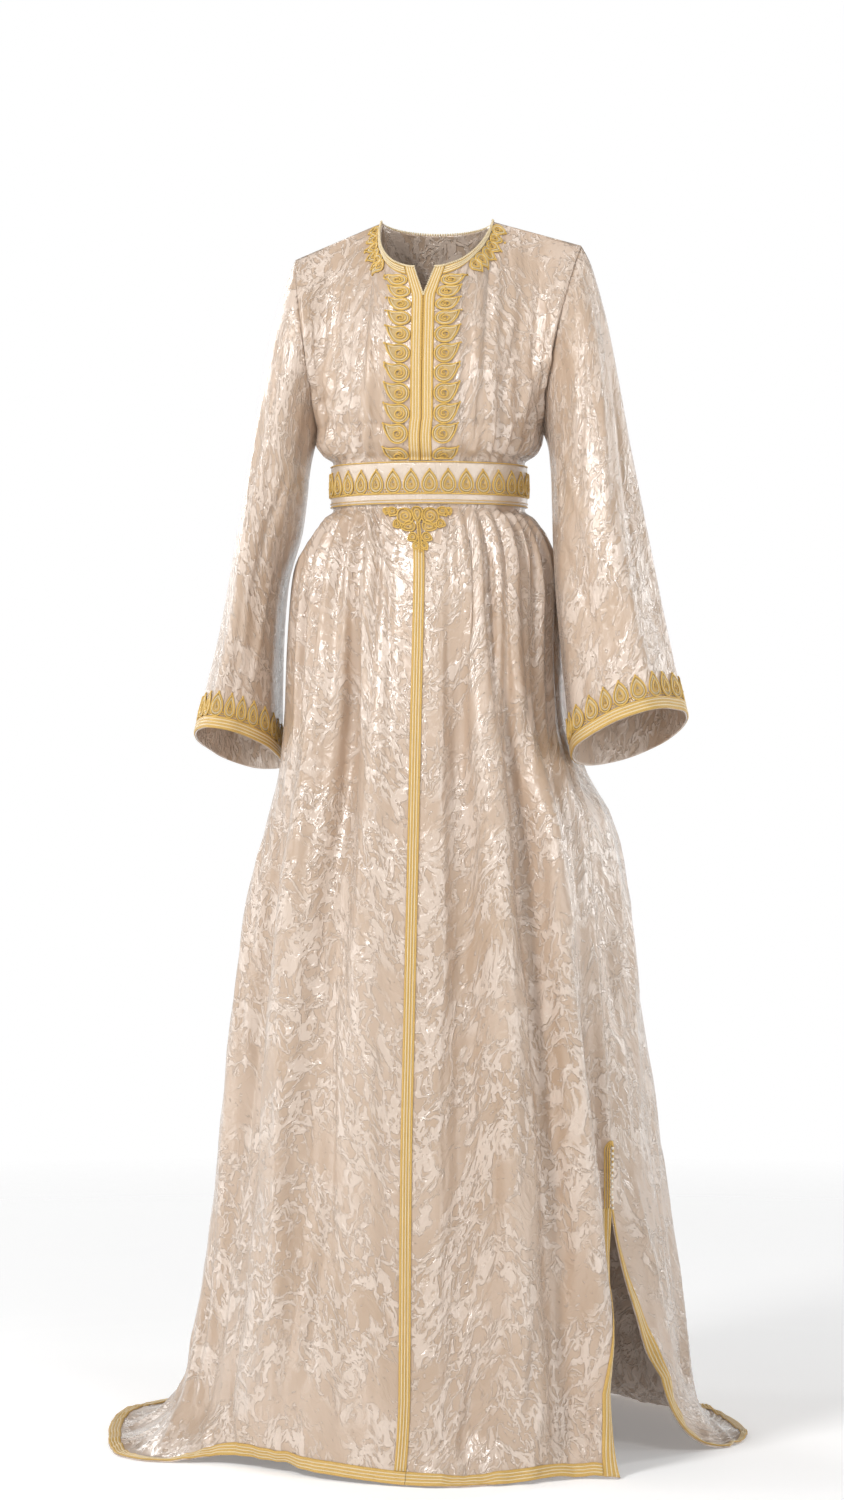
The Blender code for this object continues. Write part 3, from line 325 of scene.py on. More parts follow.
# Creases of the body: start angle and drop, end angle and drop, half-width, depth
CREASE_SCALE = 1.9
BODY_CREASES = (
    (-62, 0.120, -40, 0.215, 0.007, -0.0030),
    (-70, 0.150, -50, 0.235, 0.006, 0.0022),
    (-76, 0.175, -58, 0.252, 0.006, -0.0026),
    (-30, 0.205, -24, 0.268, 0.004, -0.0020),
    (-48, 0.215, -44, 0.268, 0.004, -0.0022),
    (-36, 0.195, -34, 0.268, 0.004, 0.0018),
    (62, 0.115, 38, 0.210, 0.007, -0.0030),
    (72, 0.150, 52, 0.240, 0.006, 0.0024),
    (78, 0.185, 58, 0.256, 0.006, -0.0026),
    (30, 0.190, 26, 0.268, 0.004, -0.0022),
    (44, 0.205, 42, 0.268, 0.004, -0.0020),
    (36, 0.200, 34, 0.268, 0.004, 0.0018),
    (-30, 0.36, -22, 0.62, 0.006, 0.0030),
    (-36, 0.36, -29, 0.74, 0.006, -0.0032),
    (-50, 0.36, -44, 0.70, 0.007, 0.0034),
    (-18, 0.37, -11, 0.66, 0.006, -0.0028),
    (-66, 0.37, -58, 0.66, 0.006, -0.0030),
    (12, 0.37, 8, 0.60, 0.006, -0.0026),
    (23, 0.36, 17, 0.70, 0.006, 0.0032),
    (34, 0.36, 27, 0.60, 0.006, -0.0030),
    (44, 0.36, 36, 0.68, 0.006, 0.0030),
    (58, 0.36, 48, 0.60, 0.006, -0.0028),
    (-25, 0.75, -17, 1.15, 0.010, 0.0034),
    (-8, 0.90, -3, 1.34, 0.009, -0.0026),
    (-36, 1.00, -28, 1.36, 0.010, 0.0036),
    (-20, 1.12, -24, 1.40, 0.008, -0.0034),
    (-52, 0.85, -42, 1.20, 0.010, -0.0034),
    (-30, 1.22, -38, 1.40, 0.008, 0.0036),
    (6, 0.85, 5, 1.25, 0.010, 0.0030),
    (20, 0.95, 17, 1.36, 0.009, -0.0030),
    (31, 0.80, 27, 1.20, 0.009, 0.0030),
    (14, 1.24, 8, 1.41, 0.008, 0.0032),
    (26, 1.26, 21, 1.41, 0.007, -0.0034),
    (36, 1.20, 34, 1.40, 0.007, 0.0030),
    (46, 0.82, 44, 1.05, 0.008, -0.0028),
    (62, 1.10, 72, 1.34, 0.009, 0.0034),
    (78, 1.05, 86, 1.38, 0.010, -0.0034),
    (88, 0.90, 84, 1.20, 0.010, 0.0030),
    (-68, 1.10, -62, 1.38, 0.009, -0.0036),
    (-84, 1.05, -78, 1.40, 0.010, 0.0034),
    (-98, 0.95, -92, 1.35, 0.010, -0.0034),
    (-112, 0.75, -106, 1.20, 0.011, 0.0034),
    (-126, 0.95, -128, 1.38, 0.011, -0.0036),
    (-142, 0.60, -138, 1.10, 0.010, -0.0030),
    (-155, 0.85, -150, 1.36, 0.011, 0.0036),
    (-170, 0.55, -168, 1.00, 0.010, 0.0030),
    (-176, 1.05, -172, 1.38, 0.011, -0.0034),
    (168, 0.70, 170, 1.22, 0.011, 0.0034),
    (156, 0.95, 152, 1.36, 0.010, -0.0034),
    (140, 0.60, 136, 1.10, 0.010, 0.0030),
    (124, 0.90, 120, 1.36, 0.011, 0.0034),
    (108, 0.80, 102, 1.30, 0.010, -0.0032),
    (150, 0.10, 142, 0.24, 0.008, -0.0026),
    (-150, 0.10, -142, 0.24, 0.008, -0.0026),
    (168, 0.16, 166, 0.268, 0.005, 0.0020),
    (-166, 0.15, -164, 0.268, 0.005, -0.0022),
    (124, 0.16, 132, 0.262, 0.006, -0.0024),
    (-124, 0.15, -132, 0.262, 0.006, -0.0024),
)

# Creases of a sleeve: start angle and share of the length, end angle and share, half-width, depth
SLEEVE_CREASES = (
    (300, 0.06, 252, 0.42, 0.008, -0.0032),
    (322, 0.10, 282, 0.55, 0.008, 0.0030),
    (338, 0.22, 306, 0.72, 0.008, -0.0028),
    (238, 0.18, 268, 0.60, 0.008, 0.0030),
    (222, 0.40, 262, 0.78, 0.008, -0.0030),
    (276, 0.55, 262, 0.93, 0.009, -0.0032),
    (300, 0.62, 296, 0.95, 0.008, 0.0028),
    (244, 0.70, 236, 0.96, 0.008, 0.0028),
    (60, 0.08, 104, 0.45, 0.008, -0.0030),
    (40, 0.20, 74, 0.66, 0.008, 0.0030),
    (126, 0.22, 96, 0.66, 0.008, -0.0030),
    (140, 0.45, 112, 0.86, 0.008, 0.0028),
    (84, 0.58, 92, 0.95, 0.009, -0.0030),
    (12, 0.30, 20, 0.80, 0.008, -0.0024),
    (350, 0.40, 342, 0.90, 0.008, 0.0024),
)

def curve(x, xs, ys):
    """Smooth curve through a table's points that never swings past them."""
    x = np.clip(np.asarray(x, float), xs[0], xs[-1])
    step = np.diff(xs)
    slope = np.diff(ys) / step
    product = slope[:-1] * slope[1:]
    total = slope[:-1] + slope[1:]
    middle = np.where(product > 0, 2 * product / np.where(product > 0, total, 1.0), 0.0)
    ends = np.concatenate([slope[:1], middle, slope[-1:]])
    i = np.clip(np.searchsorted(xs, x, side="right") - 1, 0, len(step) - 1)
    t = (x - xs[i]) / step[i]
    s = 1 - t
    return (
        (1 + 2 * t) * s * s * ys[i]
        + t * s * s * step[i] * ends[i]
        + t * t * (3 - 2 * t) * ys[i + 1]
        - t * t * s * step[i] * ends[i + 1]
    )


def look_up(table, x, *columns):
    """Values of a table's columns at x, along smooth curves."""
    found = [curve(x, table[:, 0], table[:, k]) for k in columns]
    return found if len(found) > 1 else found[0]


def smooth_step(x):
    x = np.clip(x, 0.0, 1.0)
    return x * x * (3 - 2 * x)


def wrap(angle):
    return (angle + 180.0) % 360.0 - 180.0


def hump(away, width):
    return np.exp(-((away / width) ** 2))


def unit(vectors):
    return vectors / np.linalg.norm(vectors, axis=-1, keepdims=True)


def travel(points, axis=0):
    """Lengths travelled along an axis of an array of points, from 0."""
    steps = np.linalg.norm(np.diff(points, axis=axis), axis=-1)
    return np.insert(np.cumsum(steps, axis=axis), 0, 0.0, axis=axis)


# The surfaces of the part, evaluated finely


def section_radius(angle, drop):
    left, right, front, back = look_up(SECTIONS, drop, 2, 3, 4, 5)
    a = np.radians(angle)
    wide = np.where(np.sin(a) > 0, right, left)
    deep = np.where(np.cos(a) > 0, front, back)
    return 1.0 / np.sqrt((np.sin(a) / wide) ** 2 + (np.cos(a) / deep) ** 2)


def section_points(angle, radius, drop):
    a = np.radians(angle)
    shift = look_up(SECTIONS, drop, 1)
    return np.stack([shift + radius * np.sin(a), -radius * np.cos(a), np.full_like(radius, -drop)], axis=-1)


def fold_depth(angle, drop):
    share = np.clip((drop - BELT_BOTTOM_DROP) / (HEM_START_DROP - BELT_BOTTOM_DROP), 0.0, 1.0)
    total = np.zeros_like(np.asarray(angle, float))
    for top, hem, wide_top, wide_hem, depth, start in FOLDS:
        middle = top + (hem - top) * share ** 0.6
        width = wide_top + (wide_hem - wide_top) * share
        total += depth * smooth_step((drop - start) / FOLD_RISE) * hump(wrap(angle - middle), width)
    turn = np.abs(wrap(angle))
    beside_sleeve = hump(drop - 0.54, 0.10) * smooth_step((turn - 25) / 25)
    return total * (1 - 0.85 * beside_sleeve * smooth_step((135 - turn) / 20))


def column_angles(drop):
    """Angles of the ring's whole columns at one drop: front towards +X, back, front towards -X."""
    seams = HEM_SEAMS if drop > HEM_START_DROP else look_up(SEAMS, drop, 1, 2, 3)
    level = min(drop, HEM_START_DROP)
    near = np.degrees(np.array([0.0, BAND_WIDTH, MOTIF_MIDDLE, MOTIF_REACH]) / section_radius(0.0, level))
    edge = np.degrees(BAND_WIDTH / section_radius(seams[1], level))

    def front(seam):
        span = np.linspace(near[-1], seam - edge, FRONT_COLUMNS - len(near) + 1)[1:]
        return np.concatenate([near, span, [seam]])

    back_end = 360.0 + seams[0]
    back = np.linspace(seams[2] + edge, back_end - edge, BACK_COLUMNS - 1)
    return front(seams[1]), np.concatenate([[seams[2]], back, [back_end]]), 360.0 - front(-seams[0])[::-1]


def ring_point(angle, drop, column):
    near_front = smooth_step((np.minimum(column, RING_COLUMNS - column) - 2.0) / 2.0)
    gathers = look_up(GATHERS, drop, 1) * np.cos(np.pi * column) * near_front
    return section_points(angle, section_radius(angle, drop) + fold_depth(angle, drop) - gathers, drop)


def along(path, lengths):
    """Points at the given lengths along each column of a path of rows."""
    travelled = travel(path)
    made = np.empty((len(lengths), path.shape[1], 3))
    for j in range(path.shape[1]):
        for k in range(3):
            made[:, j, k] = np.interp(lengths[:, j], travelled[:, j], path[:, j, k])
    return made


def bow(start, middle, end, samples):
    """Rows of a quadratic curve for each column."""
    t = np.linspace(0, 1, samples)[:, None, None]
    return (1 - t) ** 2 * start + 2 * t * (1 - t) * middle + t * t * end


def hem_rows(angle, hem_angle, column):
    """Rows of the hem's turn: even down to the hem band, then even over the band."""
    start = ring_point(angle, HEM_START_DROP, column)
    a = np.radians(hem_angle)
    reach, height = look_up(HEM, wrap(hem_angle), 1, 2)
    end = np.stack([reach * np.sin(a), -reach * np.cos(a), REST_HEIGHT + height], axis=-1)
    lies = smooth_step(np.linalg.norm((end - start)[:, :2], axis=1) / 0.07)
    middle = start + 0.25 * (end - start)
    middle[:, 2] = end[:, 2] + (1 - lies) * 0.5 * (start - end)[:, 2]
    fine = bow(start, middle, end, 65)
    full = travel(fine)[-1]
    plain = [(full - HEM_BAND_WIDTH) * k / HEM_SAMPLES for k in range(HEM_SAMPLES + 1)]
    band = [full - HEM_BAND_WIDTH * (1 - k / 4) for k in range(1, 5)]
    return along(fine, np.array(plain + band))[1:]


def front_top(column, side, tip):
    """Upper edge of a front: the neckline, then the shoulder seam. The side is +1 towards +X."""
    a = np.radians(np.interp(column, range(NECK_COLUMNS + 1), NECK_ANGLES))
    x = NOTCH_HALF_WIDTH + (NECK_HALF_WIDTH - NOTCH_HALF_WIDTH) * np.sin(a)
    z = -NOTCH_DROP + (NECK_SIDE_HEIGHT + NOTCH_DROP) * (1 - np.cos(a))
    over = np.clip((column - NECK_COLUMNS) / (FRONT_COLUMNS - NECK_COLUMNS), 0, 1)
    x = side * x + FRONT_SHIFT_X * np.cos(a) + over * (tip[0] - side * NECK_HALF_WIDTH)
    return np.stack([x, NECK_FRONT_Y * np.cos(a), z + over * (tip[2] - NECK_SIDE_HEIGHT)], axis=-1)


def back_top(column, tip_left, tip_right):
    a = np.pi * np.clip((column - BACK_SHOULDER_COLUMNS) / (BACK_COLUMNS - 2 * BACK_SHOULDER_COLUMNS), 0, 1)
    x = NECK_HALF_WIDTH * np.cos(a)
    z = NECK_SIDE_HEIGHT - (NECK_SIDE_HEIGHT - NECK_BACK_HEIGHT) * np.sin(a)
    first = np.clip(1 - column / BACK_SHOULDER_COLUMNS, 0, 1)
    last = np.clip(1 - (BACK_COLUMNS - column) / BACK_SHOULDER_COLUMNS, 0, 1)
    x = x + first * (tip_left[0] - NECK_HALF_WIDTH) + last * (tip_right[0] + NECK_HALF_WIDTH)
    z = z + first * (tip_left[2] - NECK_SIDE_HEIGHT) + last * (tip_right[2] - NECK_SIDE_HEIGHT)
    return np.stack([x, NECK_BACK_Y * np.sin(a), z], axis=-1)


def drop_shares(length, column_share, rows):
    """Shares of the way from the upper edge to the chest at the fine rows of the bodice."""
    fixed = np.array([0.0, NECK_BAND_WIDTH, NECK_MOTIF_REACH])
    even = np.linspace(0, 1, BODICE_ROWS + 1)
    made = np.empty((len(rows), len(length)))
    for j, full in enumerate(length):
        near_neck = np.concatenate([fixed[:-1] / full, np.linspace(fixed[-1] / full, 1, BODICE_ROWS - 1)])
        whole = near_neck + (even - near_neck) * column_share[j]
        made[:, j] = np.interp(rows, np.arange(BODICE_ROWS + 1), whole)
    return made


def bodice(top, chest, lean, side_push, column_share, rows):
    middle = top * 0.5 + chest * 0.5
    middle[:, 1] = chest[:, 1] * lean
    middle[:, 0] = middle[:, 0] + side_push
    middle[:, 2] = top[:, 2] + (chest[:, 2] - top[:, 2]) * 0.36
    fine = bow(top, middle, chest, 97)
    full = travel(fine)[-1]
    return along(fine, drop_shares(full, column_share, rows) * full)


def fullness(rows):
    """How far the bodice bellies out towards the side seams, along its rows."""
    t = rows / BODICE_ROWS
    return (4 * t * (1 - t) * BODICE_FULLNESS)[:, None]


def front_bodice(column, chest, side, tip, rows):
    edge = smooth_step((column - NECK_COLUMNS) / (FRONT_COLUMNS - NECK_COLUMNS))
    lean = 0.99 + 0.01 * smooth_step(column - FRONT_COLUMNS + 1)
    grid = bodice(front_top(column, side, tip), chest, lean, side * SIDE_PUSH * edge, edge, rows)
    grid[:, :, 1] -= fullness(rows) * smooth_step((column - 9) / 7) ** 2
    notch = np.clip((NOTCH_BOTTOM_DROP + grid[:, :, 2]) / (NOTCH_BOTTOM_DROP - NOTCH_DROP), 0, 1)
    reach = np.interp(column, (0, 1, 2, 3), (0.0, BAND_WIDTH, MOTIF_MIDDLE, MOTIF_REACH))
    goal = FRONT_SHIFT_X + side * (reach + NOTCH_HALF_WIDTH * notch * (1 - column / 5))
    below_neck = smooth_step(rows / 2.0)[:, None]
    pull = 1 + (below_neck - 1) * np.clip(column - 1, 0, 1)
    grid[:, :, 0] += (goal - grid[:, :, 0]) * pull * np.clip(4 - column, 0, 1)
    x = grid[..., 0] - side * 0.078 - FRONT_SHIFT_X
    z = grid[..., 2] + 0.185
    grid[..., 1] -= 0.011 * hump(x, 0.045) * hump(z, 0.055)
    return grid


def back_bodice(column, chest, tip_left, tip_right, rows):
    away = np.minimum(column, BACK_COLUMNS - column)
    edge = smooth_step(1 - away / BACK_SHOULDER_COLUMNS)
    push = np.where(column < BACK_COLUMNS / 2, SIDE_PUSH, -SIDE_PUSH) * edge
    grid = bodice(back_top(column, tip_left, tip_right), chest, 1.02, push, edge, rows)
    grid[:, :, 1] += fullness(rows) * smooth_step(1 - away / 10) ** 2
    return grid


# Creases and ripples


def normals(grid, closed=False):
    if closed:
        across = np.roll(grid, -1, axis=1) - np.roll(grid, 1, axis=1)
    else:
        across = np.gradient(grid, axis=1)
    return unit(np.cross(np.gradient(grid, axis=0), across))


def segment_push(x, y, x0, y0, x1, y1, width, depth):
    """Height of a soft ridge or trough along a line, tapered at both ends."""
    length = math.hypot(x1 - x0, y1 - y0)
    ax, ay = (x1 - x0) / length, (y1 - y0) / length
    t = np.clip(((x - x0) * ax + (y - y0) * ay) / length, 0, 1)
    off = (x - x0) * ay - (y - y0) * ax
    return depth * np.sin(np.pi * t) ** 0.7 * hump(off + 0.25 * width * np.sin(2 * np.pi * t), width)


def ripples(u, v, seed, size, depth):
    """Small uneven waves, the sum of a few directions and lengths."""
    draw = np.random.default_rng(seed)
    total = np.zeros_like(u)
    for _ in range(RIPPLE_WAVES):
        turn = draw.normal(0.0, 0.5)
        length = size * draw.uniform(0.7, 1.6)
        phase = draw.uniform(0, 2 * np.pi)
        bend = draw.uniform(0.3, 1.0) * np.sin(v / (2.3 * size) + phase)
        total += np.sin(2 * np.pi * (u * math.cos(turn) + v * 0.25 * math.sin(turn)) / length + phase + bend)
    return depth * total / RIPPLE_WAVES ** 0.5


def uneven_gathers(angle, drop, seed):
    """Fine gathers that run out of the belt, up and down, each with its own place, depth and length."""
    draw = np.random.default_rng(seed)
    total = np.zeros_like(drop)
    for count, away, reaches in (
        (70, GATHERS_END_DROP - drop, (0.018, 0.075)),
        (84, drop - GATHERS_START_DROP, (0.05, 0.24)),
    ):
        out = np.clip(away, 0, 0.3)
        for k in range(count):
            middle = -180 + 360 * (k + draw.uniform(-0.4, 0.4)) / count
            width = draw.uniform(1.1, 2.3)
            depth = draw.uniform(0.0008, 0.0024) * draw.choice((-1, 1))
            reach = draw.uniform(*reaches)
            slant = draw.uniform(-8, 8)
            held = smooth_step(away / 0.008) * hump(np.maximum(away, 0), reach)
            total += depth * held * hump(wrap(angle - middle - slant * out), width * (1 + 2.5 * out))
    return total


def crease_body(grid, panel):
    """Moves the points of a panel along their normals for its creases, long folds and ripples."""
    angle = np.degrees(np.arctan2(grid[..., 0], -grid[..., 1]))
    drop = -grid[..., 2]
    radius = np.hypot(grid[..., 0], grid[..., 1])
    push = np.zeros(drop.shape)
    for a0, d0, a1, d1, width, depth in BODY_CREASES:
        middle = (a0 + a1) / 2
        near = np.abs(wrap(angle - middle)) < abs(a1 - a0) / 2 + 25
        if not near.any():
            continue
        beside = near & (np.abs(drop - (d0 + d1) / 2) < 0.3)
        mean = radius[beside].mean() if beside.any() else 0.2
        x = np.radians(wrap(angle - middle)) * radius
        x0, x1 = math.radians(a0 - middle) * mean, math.radians(a1 - middle) * mean
        push += np.where(near, segment_push(x, drop, x0, d0, x1, d1, width, depth * CREASE_SCALE), 0)
    down = np.clip((drop - 0.36) / 1.05, 0, 1)
    for top, low, start, width, depth in LONG_FOLDS:
        held = smooth_step((drop - start) / 0.22) * (1 - 0.7 * smooth_step((drop - 1.37) / 0.05))
        push += LONG_FOLD_SCALE * depth * held * hump(wrap(angle - top - (low - top) * down), width)
    across = np.radians(angle) * radius
    push += ripples(across, drop, 31 + panel, 0.030, 0.0010) * smooth_step((drop - 0.36) / 0.3)
    push += ripples(across, drop, 47 + panel, 0.011, 0.00025)
    push += ripples(across, drop, 61 + panel, 0.028, 0.0011) * smooth_step((drop - 1.24) / 0.14)
    push += uneven_gathers(angle, drop, 5 + panel)
    from_top = smooth_step((drop - COVERED_TOP_DROP) / 0.010)
    push *= 1 - from_top * smooth_step((COVERED_BOTTOM_DROP - drop) / 0.010)
    columns = np.linspace(0, 1, grid.shape[1])
    if panel == 1:
        push *= smooth_step(np.minimum(columns, 1 - columns) * BACK_COLUMNS)
    else:
        from_centre = (columns if panel == 0 else 1 - columns) * FRONT_COLUMNS
        calm = smooth_step((from_centre - 1.0) / 1.5)
        push *= np.where(drop < 0.28, smooth_step((from_centre - 2.6) / 1.6), calm)
        push *= smooth_step(FRONT_COLUMNS - from_centre)
    push *= smooth_step((np.arange(len(grid))[:, None]) / 12.0)
    grid += normals(grid) * push[..., None]
    grid[..., 2] = np.maximum(grid[..., 2], REST_HEIGHT)


def crease_sleeve(grid, angle, side):
    share = np.linspace(0, 1, len(grid))[:, None] * np.ones((1, grid.shape[1]))
    push = np.zeros(share.shape)
    for a0, s0, a1, s1, width, depth in SLEEVE_CREASES:
        middle = (a0 + a1) / 2
        x, x0, x1 = (np.radians(wrap(a - middle)) * SLEEVE_GIRTH_RADIUS for a in (angle, a0, a1))
        y0, y1 = s0 * SLEEVE_LENGTH, s1 * SLEEVE_LENGTH
        push += segment_push(x, share * SLEEVE_LENGTH, x0, y0, x1, y1, width, depth)
    for k, (lobes, depth) in enumerate(((5, 0.0009), (9, 0.0006), (14, 0.0003))):
        push += depth * np.sin(lobes * np.radians(angle) + 3.1 * share + k + side)
    push *= smooth_step(share / 0.05) * (1 - 0.6 * smooth_step((share - 0.9) / 0.08))
    grid += normals(grid, closed=True) * push[..., None]


class Cloth:
    """A fine grid of points with normals and with the column and row that each line stands for."""

    def __init__(self, grid, columns, rows, period=0.0):
        self.grid = grid
        self.columns = columns
        self.rows = rows
        self.period = period
        self.normal = normals(grid, period > 0)

    def at(self, column, row):
        """Point and normal between the grid's lines."""
        count = self.grid.shape[1]
        if self.period:
            x = (column % self.period) / self.period * count
            j = int(x) % count
            k = (j + 1) % count
            over = x - int(x)
        else:
            x = float(np.interp(column, self.columns, np.arange(count)))
            j = min(int(x), count - 2)
            k = j + 1
            over = x - j
        y = float(np.interp(row, self.rows, np.arange(len(self.rows))))
        i = min(int(y), len(self.rows) - 2)
        down = y - i
        found = []
        for source in (self.grid, self.normal):
            top = source[i, j] * (1 - over) + source[i, k] * over
            low = source[i + 1, j] * (1 - over) + source[i + 1, k] * over
            found.append(top * (1 - down) + low * down)
        return found[0], found[1] / np.linalg.norm(found[1])

    def row_at_drop(self, column, drop):
        j = int(np.argmin(np.abs(self.columns - column)))
        return float(np.interp(drop, -self.grid[:, j, 2], self.rows))

    def nearest(self, target):
        """The point of the cloth next to a target, with its normal."""
        away = ((self.grid - target) ** 2).sum(axis=2)
        i, j = np.unravel_index(np.argmin(away), away.shape)
        point, normal = self.grid[i, j], self.normal[i, j]
        return target - normal * float((target - point) @ normal), normal


def body_cloth():
    """The three full-length panels: the front towards +X, the back and the front towards -X."""
    drops = np.unique(np.concatenate([
        np.linspace(0.235, 0.36, 56),
        0.36 + (HEM_START_DROP - 0.36) * np.linspace(0, 1, SKIRT_SAMPLES - 55) ** 1.05,
        SEAMS[-4:, 0],
    ]))
    upper_rows = np.linspace(0, BODICE_ROWS, BODICE_SAMPLES + 1)
    tip_left = (SLEEVE_LEFT[0, 3], 0.0, -SLEEVE_LEFT[0, 4])
    tip_right = (-SLEEVE_RIGHT[0, 3], 0.0, -SLEEVE_RIGHT[0, 4])
    made = []
    start = 0
    for panel, (count, samples) in enumerate(PANELS):
        columns = np.linspace(0, count, samples + 1)

        def angles_at(drop, panel=panel, count=count, columns=columns):
            return np.interp(columns, np.arange(count + 1.0), column_angles(drop)[panel])

        rings = np.array([ring_point(angles_at(drop), drop, start + columns) for drop in drops])
        hem = hem_rows(angles_at(drops[-1]), angles_at(FLOOR_DROP), start + columns)
        if panel == 0:
            top = front_bodice(columns, rings[0], 1, tip_left, upper_rows)
        elif panel == 1:
            top = back_bodice(columns, rings[0], tip_left, tip_right, upper_rows)
        else:
            top = front_bodice(count - columns, rings[0], -1, tip_right, upper_rows)
        grid = np.concatenate([top[:-1], rings, hem])
        crease_body(grid, panel)
        below = BODICE_ROWS + np.arange(len(rings) + len(hem))
        made.append(Cloth(grid, columns, np.concatenate([upper_rows[:-1], below])))
        start += count
    return made


def sleeve_cloth(front, back, table, side):
    """A sleeve from its armhole to its cuff; columns run round it as in the part."""
    count = SLEEVE_SAMPLES

    def armhole(cloth, column):
        found = [cloth.at(column, row) for row in np.linspace(0, BODICE_ROWS, count // 2 + 1)]
        return np.array([point - ARMHOLE_INSET * normal for point, normal in found])

    if side > 0:
        first, second = armhole(back, 0), armhole(front, FRONT_COLUMNS)
    else:
        first, second = armhole(front, 0), armhole(back, BACK_COLUMNS)
    root = np.concatenate([first[:-1], second[:0:-1]])
    root[0] = (first[0] + second[0]) / 2
    root[count // 2] = (first[-1] + second[-1]) / 2
    a = 2 * np.pi * np.arange(count) / count
    angle = np.degrees(a)
    fine = []
    for share in np.linspace(0, 1, 121):
        inner_x, inner_drop, outer_x, outer_drop, mid_y, deep = look_up(table, share, *range(1, 7))
        inner = np.array([side * inner_x, mid_y, -inner_drop])
        outer = np.array([side * outer_x, mid_y, -outer_drop])
        folds = np.zeros(count)
        for middle, width, depth, start in SLEEVE_FOLDS:
            folds += depth * smooth_step((share - start) / 0.35) * hump(wrap(angle - middle), width)
        half = (outer - inner) / 2
        wider = (1 + folds / np.linalg.norm(half)) * np.cos(a)
        ring = (inner + outer) / 2 + half * wider[:, None]
        ring[:, 1] += side * (deep + folds) * np.sin(a)
        ring[:, 2] -= side * CUFF_TILT * share * np.sin(a)
        fine.append(root + (ring - root) * smooth_step(share / 0.22))
    fine = np.array(fine)
    full = travel(fine)[-1]
    plain = full - CUFF_BAND_WIDTH - CUFF_MOTIF_HEIGHT
    upper = SLEEVE_ROWS - 20
    lengths = [plain * k / upper for k in range(upper)]
    lengths += [plain + CUFF_MOTIF_HEIGHT * k / 12 for k in range(12)]
    lengths += [full - CUFF_BAND_WIDTH * (1 - k / 8) for k in range(9)]
    grid = along(fine, np.array(lengths))
    rows = np.concatenate([
        np.linspace(0, MOTIF_ROW, upper, endpoint=False),
        np.linspace(MOTIF_ROW, CUFF_ROW, 12, endpoint=False),
        np.linspace(CUFF_ROW, CUFF_ROW + 1, 9),
    ])
    crease_sleeve(grid, angle * np.ones((len(grid), 1)), side)
    return Cloth(grid, np.arange(count), rows, period=2.0 * BODICE_ROWS)


def belt_cloth():
    angle = np.arange(BELT_SAMPLES) * 360.0 / BELT_SAMPLES
    rings = []
    for row, drop in enumerate(np.linspace(BELT_TOP_DROP, BELT_BOTTOM_DROP, BELT_ROWS + 1)):
        edge = 0.0006 if row in (0, BELT_ROWS) else 0.0
        radius = section_radius(angle, drop) + BELT_GAP + BELT_WALL - edge
        radius += 0.0003 * np.sin(np.radians(angle) * 9 + 3 * drop / 0.05)
        rings.append(section_points(angle, radius, drop))
    return Cloth(np.array(rings), np.arange(BELT_SAMPLES), np.arange(BELT_ROWS + 1.0), period=360.0)


# Meshes


def quad_mesh(name, points, quads, uvs):
    """A mesh object from arrays, with a map of cloth coordinates in metres for each corner."""
    mesh = bpy.data.meshes.new(name)
    count = len(quads)
    mesh.vertices.add(len(points))
    mesh.vertices.foreach_set("co", np.asarray(points, np.float32).ravel())
    mesh.loops.add(count * 4)
    mesh.loops.foreach_set("vertex_index", np.asarray(quads, np.int32).ravel())
    mesh.polygons.add(count)
    mesh.polygons.foreach_set("loop_start", np.arange(0, count * 4, 4, dtype=np.int32))
    mesh.polygons.foreach_set("loop_total", np.full(count, 4, np.int32))
    mesh.update(calc_edges=True)
    mesh.validate()
    layer = mesh.uv_layers.new(name="cloth")
    layer.data.foreach_set("uv", np.asarray(uvs, np.float32).ravel())
    mesh.shade_smooth()
    obj = bpy.data.objects.new(name, mesh)
    bpy.context.scene.collection.objects.link(obj)
    return obj


def grid_quads(rows, columns, closed, flip=False):
    i, j = np.meshgrid(np.arange(rows - 1), np.arange(columns if closed else columns - 1), indexing="ij")
    k = (j + 1) % columns
    top, low = i * columns, (i + 1) * columns
    quads = np.stack([top + j, low + j, low + k, top + k], axis=-1).reshape(-1, 4)
    return quads[:, ::-1] if flip else quads


def rim_quads(rows, columns, closed):
    count = rows * columns
    spans = columns if closed else columns - 1
    borders = [((rows - 1) * columns + j, (rows - 1) * columns + (j + 1) % columns) for j in range(spans)]
    borders += [((j + 1) % columns, j) for j in range(spans)]
    if not closed:
        borders += [(i * columns, (i + 1) * columns) for i in range(rows - 1)]
        borders += [((i + 1) * columns + columns - 1, i * columns + columns - 1) for i in range(rows - 1)]
    return np.array([(b, a, a + count, b + count) for a, b in borders])


def cap_quads(base, sides, flip):
    """Quads across the ring of points that starts at base."""
    steps = range(1, sides // 2)
    quads = [(base + k - 1, base + k, base + sides - k - 1, base + (sides - k) % sides) for k in steps]
    return [quad[::-1] for quad in quads] if flip else quads


def wall_quads(rows, columns, closed):
    """Quads of two grids of points, back to back, and of the rim that joins them."""
    back = grid_quads(rows, columns, closed, flip=True) + rows * columns
    return np.concatenate([grid_quads(rows, columns, closed), back, rim_quads(rows, columns, closed)])


def both_walls(outer, inner):
    return np.concatenate([outer.reshape(-1, 3), inner.reshape(-1, 3)])


